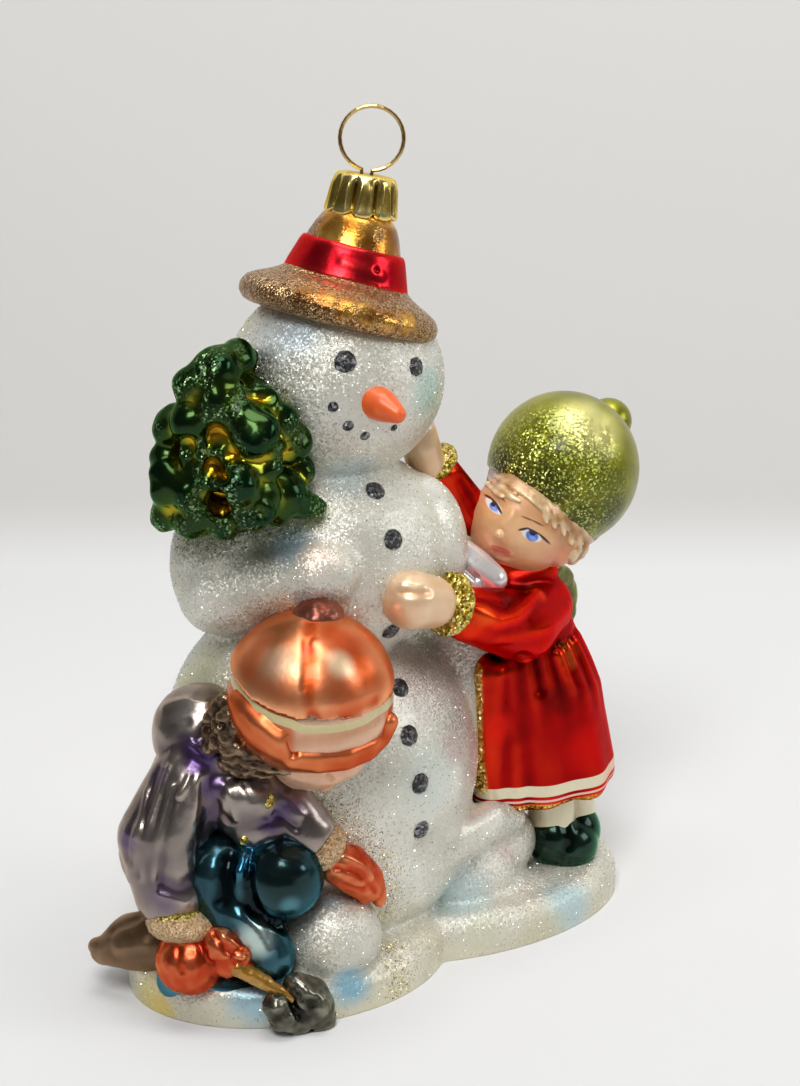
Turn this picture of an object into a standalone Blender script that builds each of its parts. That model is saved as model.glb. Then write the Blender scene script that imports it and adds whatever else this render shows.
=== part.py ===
# Mouth-blown glass ornament: a snowman between two children on a snow base,
# closed by a stamped metal cap that carries a wire ring.
# Metres, +Z up, origin on the table under the snowman, its face to -Y.
import math

import bmesh
import bpy
from mathutils import Euler, Matrix, Vector

MM = 0.001

# Driving sizes of the glass, in millimetres.
GLASS_WALL = 1.6
OUTER_GRID = 0.8
CORE_GRID = 1.3
OUTER_SHARE = 0.036
CORE_SHARE = 0.035
BASE_FLOOR = 1.8

# The neck, the cap and the ring share one leaning axis.
CAP_SEAT = (6.9, 0.0, 125.9)
CAP_LEAN = 10.5
NECK_RADIUS = 4.0
NECK_BORE = 3.0
NECK_DEPTH = 9.0
CAP_HEIGHT = 6.5
CAP_TOP_RADIUS = 4.9
CAP_FOOT_RADIUS = 5.7
CAP_SHEET = 0.45
CAP_SHOULDER = 0.3
CAP_BELLY_HEIGHT = 4.2
CAP_PETALS = 9
CAP_FLUTE = 0.32
CAP_SCALLOP = 0.7
SLOT_SIZE = (3.4, 1.4)
RING_TURN = -33.0
RING_RADIUS = 5.1
RING_LIFT = 0.55
RING_GAP = 10.0
WIRE_RADIUS = 0.35
WIRE_LEG = 6.0
WIRE_SPREAD = 2.0
WIRE_WAIST = 1.2

# Forms are (centre, radii, turn in degrees, squareness); runs are stations (x, y, z, radius).
SNOWMAN = {
    "balls": [
        ((27, 0.5, 1.5), (32, 21, 7.0), (0, 0, 0), 4),
        ((-10, -3, 1.5), (28.5, 23, 7.0), (0, 0, 0), 4),
        ((0, 1, 31), (28.5, 20.5, 26.5), (0, 0, 0), 2.5),
        ((22, 2, 34), (13, 13, 20), (0, 0, 0), 2),
        ((1.5, -0.5, 70), (21, 17.5, 18), (0, 0, 0), 2),
        ((14, -5, 70), (9, 9, 13), (0, 0, 0), 2),
        ((2, 0, 99.5), (18.3, 17, 16.5), (0, 0, 0), 2),
        ((-18.5, 2, 70), (8.5, 9, 13), (0, 0, 0), 2),
        ((-10, -18, 10), (8.6, 8, 8.6), (0, 0, 0), 2),
        ((26, -8, 9), (11, 8, 8), (0, 0, 0), 2),
    ],
    "runs": [
        [(-21, -1, 66, 7.5), (-10, -11, 71, 6)],
        [(-10, -13, 72, 5.5), (-8, -14, 72, 5)],
    ],
}

# The hat leans towards +X: a rolled brim and a crown that narrows to the neck.
HAT_LEAN = 17.0
BRIM_CENTRE = (3.1, 0, 112.6)
BRIM_PROFILE = [(13, -2.8), (15.8, -2.6), (17, -1.2), (17, 0.4), (15.6, 1.8), (13, 2.2), (9, 3.6)]
CROWN_RUN = [(4.2, 0, 115, 10.2), (5.6, 0, 119, 8.6), (6.3, 0, 122, 6.4)]

# The nose points to -Y from the middle of the face.
NOSE_RUN = [(-0.8, -14.5, 98.8, 3.3), (0.2, -18.6, 97.7, 2.6), (1.3, -22.4, 96.5, 1.4)]

# The little fir: rings of lumps about a leaning axis, drooping outwards.
TREE_FOOT = (-19.5, -5, 82.5)
TREE_TOP = (-18.5, -3, 104)
TREE_TIERS = 5
TREE_FOOT_RADIUS = 10.6
TREE_TOP_SHARE = 0.1
TREE_FOOT_COUNT = 9
TREE_TOP_COUNT = 4
TREE_LUMP = (4.8, 3.6, 3.36)
TREE_LUMP_TAPER = 0.25
TREE_DROOP = 30
TREE_CORE = [(-19.5, -5, 82.5, 8.6), (-18.9, -3.8, 95.4, 7), (-18.5, -3, 104, 3)]

GIRL = {
    "balls": [
        ((46.6, -2, 78), (13.2, 12.6, 13), (0, 0, 0), 2),
        ((37, -6, 70.6), (9.3, 8.6, 9.6), (0, 0, 0), 2),
        ((59.6, 1.5, 84.4), (3.0, 3.0, 2.8), (0, 0, 0), 2),
        ((43, -3, 11), (5.2, 5.6, 6), (0, 0, 0), 2),
        ((52.5, -1, 9.5), (5.0, 6, 5.5), (0, 0, 0), 2),
        ((28, -4, 63.5), (5, 5, 5), (0, 0, 0), 2),
        ((28, 1, 62), (11, 7, 12), (0, 0, 0), 2),
        ((29, 1, 47), (10, 7.5, 13), (0, 0, 0), 2),
        ((45, 1, 12), (11, 6, 9), (0, 0, 0), 2),
    ],
    "runs": [
        [(44, -2, 66, 6), (44, -2, 58, 7)],
        [(43.4, -2, 55, 8.6), (41.4, -2, 47.5, 8.4)],
        [(42.5, -6, 55.8, 6.6), (32, -12, 54.8, 6.0), (16, -17, 62, 4.2)],
        [(14, -17.5, 63, 4.4), (11.5, -18, 64.3, 4.6)],
        [(8, -18.5, 66, 3.6), (3.8, -18.5, 67.2, 4.4)],
        [(40, 2, 60, 6), (27, 1, 74, 4.4), (22, 0.5, 81, 3.6)],
        [(20, -0.5, 84.5, 3.2), (17.5, -1.5, 87.5, 2.8)],
        [(42.5, -3, 22, 4), (43, -3, 12, 4)],
        [(50, -1, 20, 4), (52, -1, 10, 4)],
        [(52, 3, 66, 4), (51, 3, 60, 4)],
    ],
}

# Dress: a bell with an oval section, (height, half width, half depth, centre x, centre y).
DRESS_STATIONS = [(17.5, 13.6, 10.4, 43.4, -3), (19, 15, 11, 43.3, -3), (26, 14, 10.6, 43, -2.8),
                  (36, 11.8, 9.6, 42.2, -2.4), (46, 9.4, 8.4, 41.2, -2), (50, 8.6, 8, 41.6, -2)]

BOY = {
    "balls": [
        ((-14.8, -18.7, 55.4), (13.7, 13.2, 12.3), (0, 0, 0), 2),
        ((-12.8, -18, 67.5), (3.4, 3.4, 2), (0, 0, 0), 2),
        ((-14.2, -20, 47.5), (11.4, 9.8, 5.4), (0, 0, 0), 2),
        ((-14.6, -19.5, 43.5), (6, 5.5, 4.6), (0, 0, 0), 2),
        ((-25.6, -3, 45), (8.2, 8, 8), (0, 0, 0), 2),
        ((-21, -11, 36), (8.6, 8, 8.4), (0, 0, 0), 2),
        ((-20.2, -19.4, 24), (6.7, 6.5, 6.7), (0, 0, 0), 2),
        ((-31.2, -12.8, 10.6), (5.6, 5.2, 5.6), (0, 0, 0), 2),
    ],
    "runs": [
        [(-23.5, -4, 43, 8), (-27.5, -1, 32, 8.4), (-30.5, 3, 22.5, 7.2)],
        [(-26, -8, 40, 7), (-32, -9, 28.5, 6.8), (-32, -10, 20, 5.8)],
        [(-32, -10.4, 18, 6.2), (-31.8, -11, 15.4, 6.0)],
        [(-18, -14, 36, 5), (-14.8, -18, 30, 4.4)],
        [(-13.6, -19.4, 28.2, 4.4), (-12.4, -20, 26.6, 4.2)],
        [(-10.5, -20.4, 24.6, 3.8), (-5.4, -20.4, 19, 2.8), (-3.8, -20.6, 16.8, 1.8)],
        [(-31, -1, 21, 8), (-22, -17, 23, 6.4)],
        [(-27.5, -11, 24, 6.5), (-26.2, -15, 17.6, 5.8), (-23.6, -18.5, 11, 4.6)],
        [(-38, -5, 6.5, 4.6), (-27, -15, 6.5, 4)],
        [(-40.6, 3, 8.4, 3.6), (-35.4, -1, 9.8, 5)],
        [(-28, -17.6, 11, 1.7), (-21.8, -23.6, 5.2, 1.7)],
    ],
}

# Shovel blade: a flat oval leaning on the edge of the base.
BLADE = ((-20.2, -25.2, 5), (6, 2.2, 4.8), (-35, 0, -20), 2.6)

# A form of the hollow core that the wall leaves thinner than this is left out.
THINNEST_CORE = 1.0

FINISH = {
    "glass_figure": ((0.80, 0.84, 0.85, 1), 0.35, 0.0),
    "crown_cap": ((0.66, 0.52, 0.20, 1), 0.28, 1.0),
    "wire_hanger": ((0.62, 0.44, 0.22, 1), 0.25, 1.0),
}


def metres(point):
    return Vector(point) * MM


def add_ball(bm, form, shrink=0.0):
    centre, radii, turn, power = form
    half = [radius - shrink for radius in radii]
    if min(half) < THINNEST_CORE:
        return
    made = bmesh.ops.create_icosphere(bm, subdivisions=4, radius=1.0)
    frame = Matrix.Translation(metres(centre)) @ Euler([math.radians(a) for a in turn]).to_matrix().to_4x4()
    for vert in made["verts"]:
        rho = math.hypot(vert.co.x, vert.co.y)
        full = (rho ** power + abs(vert.co.z) ** power) ** (1.0 / power)
        local = Vector([c * h / full for c, h in zip(vert.co, half)]) * MM
        vert.co = frame @ local


def add_run(bm, stations, shrink=0.0):
    for start, end in zip(stations, stations[1:]):
        ends = [(Vector(s[:3]), s[3] - shrink) for s in (start, end)]
        if min(radius for _, radius in ends) < THINNEST_CORE:
            continue
        piece = bmesh.new()
        for centre, radius in ends:
            bmesh.ops.create_icosphere(piece, subdivisions=3, radius=radius * MM,
                                       matrix=Matrix.Translation(centre * MM))
        hull = bmesh.ops.convex_hull(piece, input=piece.verts[:])
        waste = [e for e in hull["geom_interior"] + hull["geom_unused"]
                 if isinstance(e, bmesh.types.BMVert) and e.is_valid]
        bmesh.ops.delete(piece, geom=list(set(waste)), context="VERTS")
        mesh = bpy.data.meshes.new("run")
        piece.to_mesh(mesh)
        piece.free()
        bm.from_mesh(mesh)
        bpy.data.meshes.remove(mesh)


def add_rings(bm, rings):
    loops = [[bm.verts.new(p) for p in ring] for ring in rings]
    count = len(loops[0])
    for low, high in zip(loops, loops[1:]):
        for i in range(count):
            j = (i + 1) % count
            bm.faces.new((low[i], low[j], high[j], high[i]))
    bm.faces.new(list(reversed(loops[0])))
    bm.faces.new(loops[-1])


def around(count):
    return [2 * math.pi * i / count for i in range(count)]


def add_dress(bm, shrink=0.0):
    rings = []
    for height, wide, deep, x, y in DRESS_STATIONS:
        rings.append([metres((x + (wide - shrink) * math.cos(a), y + (deep - shrink) * math.sin(a), height))
                      for a in around(48)])
    add_rings(bm, rings)


def leaning(origin, degrees):
    return Matrix.Translation(metres(origin)) @ Matrix.Rotation(math.radians(degrees), 4, "Y")


def add_brim(bm):
    frame = leaning(BRIM_CENTRE, HAT_LEAN)
    rings = []
    for radius, height in BRIM_PROFILE:
        rings.append([frame @ metres((radius * math.cos(a), radius * math.sin(a), height))
                      for a in around(64)])
    add_rings(bm, rings)


def add_tree(bm):
    foot, top = Vector(TREE_FOOT), Vector(TREE_TOP)
    add_run(bm, TREE_CORE)
    for tier in range(TREE_TIERS):
        share = tier / (TREE_TIERS - 1)
        centre = foot.lerp(top, share)
        reach = TREE_FOOT_RADIUS * (1 - (1 - TREE_TOP_SHARE) * share ** 2.2)
        count = round(TREE_FOOT_COUNT + (TREE_TOP_COUNT - TREE_FOOT_COUNT) * share)
        size = [part * (1 - TREE_LUMP_TAPER * share) for part in TREE_LUMP]
        for k in range(count):
            angle = 2 * math.pi * (k + 0.5 * (tier % 2)) / count
            place = (centre.x + reach * math.cos(angle), centre.y + reach * math.sin(angle), centre.z)
            add_ball(bm, (place, size, (0, TREE_DROOP, math.degrees(angle)), 2))


def add_forms(bm, shrink=0.0):
    for group in (SNOWMAN, GIRL, BOY):
        for form in group["balls"]:
            add_ball(bm, form, shrink)
        for stations in group["runs"]:
            add_run(bm, stations, shrink)
    add_run(bm, CROWN_RUN, shrink)
    add_dress(bm, shrink)


def mesh_object(name, bm):
    bmesh.ops.recalc_face_normals(bm, faces=bm.faces[:])
    mesh = bpy.data.meshes.new(name)
    bm.to_mesh(mesh)
    bm.free()
    obj = bpy.data.objects.new(name, mesh)
    bpy.context.scene.collection.objects.link(obj)
    return obj


def settle(obj):
    graph = bpy.context.evaluated_depsgraph_get()
    solved = bpy.data.meshes.new_from_object(obj.evaluated_get(graph))
    obj.modifiers.clear()
    obj.data = solved


def fuse(obj, grid, share, rounds):
    remesh = obj.modifiers.new("fuse", "REMESH")
    remesh.mode = "VOXEL"
    remesh.voxel_size = grid * MM
    smooth = obj.modifiers.new("soften", "SMOOTH")
    smooth.factor = 0.5
    smooth.iterations = rounds
    thin = obj.modifiers.new("thin", "DECIMATE")
    thin.ratio = share
    settle(obj)


def keep_largest(obj):
    bm = bmesh.new()
    bm.from_mesh(obj.data)
    left = set(bm.verts)
    islands = []
    while left:
        front = [left.pop()]
        island = []
        while front:
            vert = front.pop()
            island.append(vert)
            near = [e.other_vert(vert) for e in vert.link_edges]
            fresh = [v for v in near if v in left]
            left.difference_update(fresh)
            front.extend(fresh)
        islands.append(island)
    islands.sort(key=len)
    stray = [v for island in islands[:-1] for v in island]
    bmesh.ops.delete(bm, geom=stray, context="VERTS")
    bm.to_mesh(obj.data)
    bm.free()


def cut_flat(obj, height):
    bm = bmesh.new()
    bm.from_mesh(obj.data)
    cut = bmesh.ops.bisect_plane(bm, geom=bm.verts[:] + bm.edges[:] + bm.faces[:],
                                 plane_co=(0, 0, height * MM), plane_no=(0, 0, 1), clear_inner=True)
    rim = [e for e in cut["geom_cut"] if isinstance(e, bmesh.types.BMEdge)]
    bmesh.ops.triangle_fill(bm, edges=rim, use_beauty=True, normal=(0, 0, -1))
    bmesh.ops.recalc_face_normals(bm, faces=bm.faces[:])
    bm.to_mesh(obj.data)
    bm.free()


def join_by(obj, other, operation):
    step = obj.modifiers.new(operation.lower(), "BOOLEAN")
    step.operation = operation
    step.solver = "EXACT"
    step.object = other
    settle(obj)
    bpy.data.objects.remove(other, do_unlink=True)


def tube_on_cap_axis(name, radius, low, high):
    bm = bmesh.new()
    frame = leaning(CAP_SEAT, CAP_LEAN)
    rings = [[frame @ metres((radius * math.cos(a), radius * math.sin(a), z)) for a in around(32)]
             for z in (low, high)]
    add_rings(bm, rings)
    return mesh_object(name, bm)


def make_glass_figure():
    bm = bmesh.new()
    add_forms(bm)
    add_brim(bm)
    add_run(bm, NOSE_RUN)
    add_ball(bm, BLADE)
    add_tree(bm)
    figure = mesh_object("glass_figure", bm)
    fuse(figure, OUTER_GRID, OUTER_SHARE, 3)
    cut_flat(figure, 0.0)
    join_by(figure, tube_on_cap_axis("neck", NECK_RADIUS, -4.0, CAP_HEIGHT - CAP_SHEET - 0.4), "UNION")
    bm = bmesh.new()
    add_forms(bm, GLASS_WALL)
    core = mesh_object("core", bm)
    fuse(core, CORE_GRID, CORE_SHARE, 2)
    keep_largest(core)
    cut_flat(core, BASE_FLOOR)
    join_by(figure, core, "DIFFERENCE")
    join_by(figure, tube_on_cap_axis("bore", NECK_BORE, -NECK_DEPTH, CAP_HEIGHT + 2), "DIFFERENCE")
    return figure


def make_crown_cap():
    bm = bmesh.new()
    frame = leaning(CAP_SEAT, CAP_LEAN)
    segments = CAP_PETALS * 5

    def ring(radius, height, flute, scallop):
        points = []
        for a in around(segments):
            wave = abs(math.cos(a * CAP_PETALS / 2))
            r = radius + flute * (wave - 0.6)
            z = height - scallop * wave
            points.append(frame @ metres((r * math.cos(a), r * math.sin(a), z)))
        return points

    top = CAP_TOP_RADIUS
    foot = CAP_FOOT_RADIUS
    sheet = CAP_SHEET
    belly = (top + foot) / 2
    shoulder = CAP_SHOULDER
    rows = [
        ring(top - sheet - shoulder, CAP_HEIGHT - sheet, 0, 0),
        ring(top - sheet, CAP_HEIGHT - sheet - shoulder, 0, 0),
        ring(belly - sheet - CAP_FLUTE, CAP_BELLY_HEIGHT, 0, 0),
        ring(foot - sheet, 2 * sheet, CAP_FLUTE / 2, CAP_SCALLOP),
        ring(foot, CAP_SCALLOP, CAP_FLUTE, CAP_SCALLOP),
        ring(foot, 2 * CAP_SCALLOP, CAP_FLUTE, 0),
        ring(belly, CAP_BELLY_HEIGHT, CAP_FLUTE, 0),
        ring(top, CAP_HEIGHT - 2 * shoulder, CAP_FLUTE / 2, 0),
        ring(top - shoulder, CAP_HEIGHT, 0, 0),
    ]
    add_rings(bm, rows)
    cap = mesh_object("crown_cap", bm)
    bm = bmesh.new()
    turn = Matrix.Rotation(math.radians(RING_TURN), 4, "Z")
    size = Matrix.Diagonal((*metres((*SLOT_SIZE, CAP_HEIGHT / 2)), 1))
    place = frame @ Matrix.Translation(metres((0, 0, CAP_HEIGHT))) @ turn
    bmesh.ops.create_cube(bm, size=1.0, matrix=place @ size)
    join_by(cap, mesh_object("slot", bm), "DIFFERENCE")
    return cap


def make_wire_hanger():
    frame = leaning(CAP_SEAT, CAP_LEAN) @ Matrix.Rotation(math.radians(RING_TURN), 4, "Z")
    centre = CAP_HEIGHT + RING_RADIUS + RING_LIFT
    half_gap = math.radians(RING_GAP)
    legs = [(WIRE_SPREAD, CAP_HEIGHT - WIRE_LEG), (WIRE_WAIST, CAP_HEIGHT - WIRE_LEG / 2),
            (2 * WIRE_RADIUS, CAP_HEIGHT - RING_LIFT)]
    turns = 28
    path = list(legs)
    for i in range(turns + 1):
        a = -math.pi / 2 + half_gap + (2 * math.pi - 2 * half_gap) * i / turns
        path.append((RING_RADIUS * math.cos(a), centre + RING_RADIUS * math.sin(a)))
    path += [(-x, z) for x, z in reversed(legs)]
    curve = bpy.data.curves.new("wire_hanger", "CURVE")
    curve.dimensions = "3D"
    curve.bevel_depth = WIRE_RADIUS * MM
    curve.bevel_resolution = 2
    curve.use_fill_caps = True
    spline = curve.splines.new("POLY")
    spline.points.add(len(path) - 1)
    for point, (x, z) in zip(spline.points, path):
        point.co = (*(frame @ metres((x, 0, z))), 1)
    obj = bpy.data.objects.new("wire_hanger", curve)
    bpy.context.scene.collection.objects.link(obj)
    return obj


def paint(obj):
    colour, rough, metal = FINISH[obj.name]
    material = bpy.data.materials.new(obj.name + "_finish")
    material.use_nodes = True
    shader = material.node_tree.nodes["Principled BSDF"]
    shader.inputs["Base Color"].default_value = colour
    shader.inputs["Roughness"].default_value = rough
    shader.inputs["Metallic"].default_value = metal
    obj.data.materials.clear()
    obj.data.materials.append(material)


def main():
    for old in list(bpy.data.objects):
        bpy.data.objects.remove(old, do_unlink=True)
    for part in (make_glass_figure(), make_crown_cap(), make_wire_hanger()):
        paint(part)


main()
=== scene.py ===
import math

import bmesh
import bpy
import numpy as np
from mathutils import Matrix, Vector
from mathutils.bvhtree import BVHTree


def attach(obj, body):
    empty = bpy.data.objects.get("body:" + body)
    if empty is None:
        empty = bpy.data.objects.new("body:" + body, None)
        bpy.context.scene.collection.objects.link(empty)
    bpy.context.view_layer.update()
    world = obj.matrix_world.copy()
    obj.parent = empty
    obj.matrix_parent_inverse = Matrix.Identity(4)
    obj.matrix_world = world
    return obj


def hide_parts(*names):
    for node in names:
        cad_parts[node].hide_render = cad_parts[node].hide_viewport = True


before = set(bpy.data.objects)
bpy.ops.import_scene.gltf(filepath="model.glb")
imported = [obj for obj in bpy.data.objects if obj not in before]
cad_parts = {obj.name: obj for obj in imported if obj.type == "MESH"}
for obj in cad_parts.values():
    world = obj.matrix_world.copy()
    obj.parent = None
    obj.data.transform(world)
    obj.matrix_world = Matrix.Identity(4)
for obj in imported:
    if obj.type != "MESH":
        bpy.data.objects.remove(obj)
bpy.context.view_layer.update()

mm = 0.001
dice = np.random.default_rng(7)

# The photograph's camera, in metres, with its picture size and focal length in pixels.
view = {"picture": (800, 1086), "azimuth": -33.0, "elevation": 17.0, "distance": 0.420,
        "target": (0.01017, -0.00661, 0.07193), "focal": 2545.5, "sensor": 36.0}


def cameraAxes():
    az, el = math.radians(view["azimuth"]), math.radians(view["elevation"])
    back = Vector((math.sin(az) * math.cos(el), -math.cos(az) * math.cos(el), math.sin(el)))
    right = Vector((math.cos(az), math.sin(az), 0))
    return right, back.cross(right), back


def cameraPlace():
    return Vector(view["target"]) + cameraAxes()[2] * view["distance"]


def sightLine(px, py):
    right, up, back = cameraAxes()
    wide, high = view["picture"]
    aim = right * (px - wide / 2) - up * (py - high / 2) - back * view["focal"]
    return cameraPlace(), aim.normalized()


def clearPick():
    bpy.ops.object.select_all(action="DESELECT")


def pick(*things):
    clearPick()
    for thing in things:
        thing.select_set(True)
    bpy.context.view_layer.objects.active = things[0]


def applyPlace(piece):
    pick(piece)
    bpy.ops.object.transform_apply(location=True, rotation=True, scale=True)


def useModifier(piece, kind, **settings):
    pick(piece)
    step = piece.modifiers.new(kind.lower(), kind)
    for name, value in settings.items():
        setattr(step, name, value)
    bpy.ops.object.modifier_apply(modifier=step.name)


def joined(name, parts):
    for part in parts:
        applyPlace(part)
    pick(*parts)
    if len(parts) > 1:
        bpy.ops.object.join()
    piece = bpy.context.active_object
    piece.name = name
    piece.data.name = name
    return piece


def ball(place, size, turn=(0, 0, 0), rings=20):
    clearPick()
    bpy.ops.mesh.primitive_uv_sphere_add(segments=rings * 2, ring_count=rings, radius=1,
                                         location=Vector(place) * mm)
    made = bpy.context.active_object
    made.scale = Vector(size) * mm
    made.rotation_euler = [math.radians(a) for a in turn]
    return made


def limb(stations):
    parts = []
    for start, end in zip(stations, stations[1:]):
        ends = [ball(s[:3], (s[3],) * 3, rings=12) for s in (start, end)]
        stretch = joined("stretch", ends)
        bpy.ops.object.mode_set(mode="EDIT")
        bpy.ops.mesh.select_all(action="SELECT")
        bpy.ops.mesh.convex_hull()
        bpy.ops.object.mode_set(mode="OBJECT")
        parts.append(stretch)
    return parts


def slab(place, size, height, rounding):
    clearPick()
    bpy.ops.mesh.primitive_cylinder_add(vertices=96, radius=1, depth=1,
                                        location=Vector(place) * mm)
    made = bpy.context.active_object
    made.scale = Vector((*size, height)) * mm
    applyPlace(made)
    bpy.ops.object.mode_set(mode="EDIT")
    bpy.ops.mesh.select_all(action="DESELECT")
    grid = bmesh.from_edit_mesh(made.data)
    top = (place[2] + height * 0.49) * mm
    for edge in grid.edges:
        edge.select_set(all(v.co.z > top for v in edge.verts))
    bmesh.update_edit_mesh(made.data)
    bpy.ops.mesh.bevel(offset=rounding * mm, segments=6)
    bpy.ops.object.mode_set(mode="OBJECT")
    return made


def turned(name, profile, place, lean=0, steps=72, oval=1.0):
    # spins a profile of (radius, height) and leans it towards +X
    clearPick()
    bpy.ops.mesh.primitive_plane_add(size=mm, location=(0, 0, 0))
    made = bpy.context.active_object
    bpy.ops.object.mode_set(mode="EDIT")
    bpy.ops.mesh.select_all(action="SELECT")
    bpy.ops.mesh.merge(type="CENTER")
    first = Vector((profile[0][0], 0, profile[0][1])) * mm
    bpy.ops.transform.translate(value=first)
    for low, high in zip(profile, profile[1:]):
        step = Vector((high[0] - low[0], 0, high[1] - low[1])) * mm
        bpy.ops.mesh.extrude_region_move(TRANSFORM_OT_translate={"value": step})
    bpy.ops.mesh.select_all(action="SELECT")
    bpy.ops.mesh.spin(steps=steps, angle=2 * math.pi, center=(0, 0, 0), axis=(0, 0, 1))
    bpy.ops.mesh.select_all(action="SELECT")
    bpy.ops.mesh.remove_doubles(threshold=0.01 * mm)
    bpy.ops.mesh.normals_make_consistent(inside=False)
    bpy.ops.object.mode_set(mode="OBJECT")
    made.scale = (1, oval, 1)
    applyPlace(made)
    made.location = Vector(place) * mm
    made.rotation_euler = (0, math.radians(lean), 0)
    applyPlace(made)
    made.name = name
    return made


def fuse(name, parts, grid, soft):
    piece = joined(name, parts)
    useModifier(piece, "REMESH", mode="VOXEL", voxel_size=grid * mm)
    if soft:
        useModifier(piece, "SMOOTH", factor=0.5, iterations=soft)
    smoothShade(piece)
    return piece


def smoothShade(piece):
    pick(piece)
    bpy.ops.object.shade_smooth()


def points(piece):
    flat = np.empty(len(piece.data.vertices) * 3)
    piece.data.vertices.foreach_get("co", flat)
    return flat.reshape(-1, 3)


def outward(piece):
    flat = np.empty(len(piece.data.vertices) * 3)
    piece.data.vertices.foreach_get("normal", flat)
    return flat.reshape(-1, 3)


def setPoints(piece, places):
    piece.data.vertices.foreach_set("co", places.ravel())
    piece.data.update()


def nearPath(places, path):
    # distance of each point to a chain of points
    best = np.full(len(places), 1e9)
    path = [np.array(p, float) for p in path]
    if len(path) == 1:
        path = path * 2
    for start, end in zip(path, path[1:]):
        run = end - start
        share = np.clip((places - start) @ run / max(run @ run, 1e-18), 0, 1)
        gap = np.linalg.norm(places - (start + share[:, None] * run), axis=1)
        best = np.minimum(best, gap)
    return best


def stroke(piece, path, reach, lift):
    # one stroke of a sculpting brush: path in metres, reach and lift in millimetres
    places = points(piece)
    fade = np.clip(1 - nearPath(places, path) / (reach * mm), 0, 1)
    fade = fade * fade * (3 - 2 * fade)
    setPoints(piece, places + outward(piece) * (lift * mm * fade)[:, None])


def surfaceOf(piece):
    return BVHTree.FromObject(piece, bpy.context.evaluated_depsgraph_get())


def touch(surface, px, py):
    eye, aim = sightLine(px, py)
    place, normal, _, _ = surface.ray_cast(eye, aim)
    if place is None:
        # beside the outline, the point nearest to the sight line
        found = [surface.find_nearest(eye + aim * (reach * mm)) for reach in range(370, 470, 2)]
        place, normal, _, _ = min(found, key=lambda hit: hit[3])
    return place, normal


def seenPath(surface, pixels):
    return [touch(surface, *pixel)[0] for pixel in pixels]


def strokesSeen(piece, strokes):
    surface = surfaceOf(piece)
    found = [(seenPath(surface, pixels), reach, lift) for pixels, reach, lift in strokes]
    for path, reach, lift in found:
        stroke(piece, path, reach, lift)


def relief(piece, rounds=24, span=0.25):
    # ridge or hollow at each point, as an attribute from 0 to 1, 0.5 where the surface is even
    mesh = piece.data
    count = len(mesh.vertices)
    ends = np.empty(len(mesh.edges) * 2, dtype=np.int64)
    mesh.edges.foreach_get("vertices", ends)
    one, two = ends[0::2], ends[1::2]
    degree = np.bincount(ends, minlength=count)[:, None]
    places = points(piece)
    soft = places.copy()
    for _ in range(rounds):
        total = np.empty_like(soft)
        for axis in range(3):
            total[:, axis] = (np.bincount(one, soft[two, axis], count)
                              + np.bincount(two, soft[one, axis], count))
        soft = 0.5 * soft + 0.5 * total / np.maximum(degree, 1)
    rise = np.einsum("ij,ij->i", places - soft, outward(piece)) / (span * mm)
    for _ in range(4):
        total = np.bincount(one, rise[two], count) + np.bincount(two, rise[one], count)
        rise = 0.4 * rise + 0.6 * total / np.maximum(degree[:, 0], 1)
    setShare(piece, "relief", np.clip(0.5 + 0.5 * rise, 0, 1))


def setShare(piece, name, values):
    attribute = piece.data.attributes.new(name, "FLOAT", "POINT")
    attribute.data.foreach_set("value", np.asarray(values, dtype=np.float32))


# Materials

class Tone:
    # a number in a material: expressions on tones add its Math nodes
    def __init__(self, brush, socket):
        self.brush, self.socket = brush, socket

    def maths(self, operation, *others):
        values = {i: getattr(v, "socket", v) for i, v in enumerate((self, *others))}
        node = self.brush.node("ShaderNodeMath", {"operation": operation}, values)
        return Tone(self.brush, node.outputs[0])

    def __add__(self, other):
        return self.maths("ADD", other)

    __radd__ = __add__

    def __mul__(self, other):
        return self.maths("MULTIPLY", other)

    __rmul__ = __mul__

    def __sub__(self, other):
        return self.maths("SUBTRACT", other)

    def __rsub__(self, other):
        return (self * -1.0).maths("ADD", other)

    def clamp(self):
        return self.maths("MAXIMUM", 0.0).maths("MINIMUM", 1.0)

    def step(self, low, high):
        # 0 below low, 1 above high, soft between; falls instead where low is above high
        values = {0: self.socket, 1: min(low, high), 2: max(low, high),
                  3: 0.0 if low < high else 1.0, 4: 1.0 if low < high else 0.0}
        node = self.brush.node("ShaderNodeMapRange", {"interpolation_type": "SMOOTHSTEP"}, values)
        return Tone(self.brush, node.outputs[0])

    def either(self, other):
        return self.maths("MAXIMUM", other)


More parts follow.
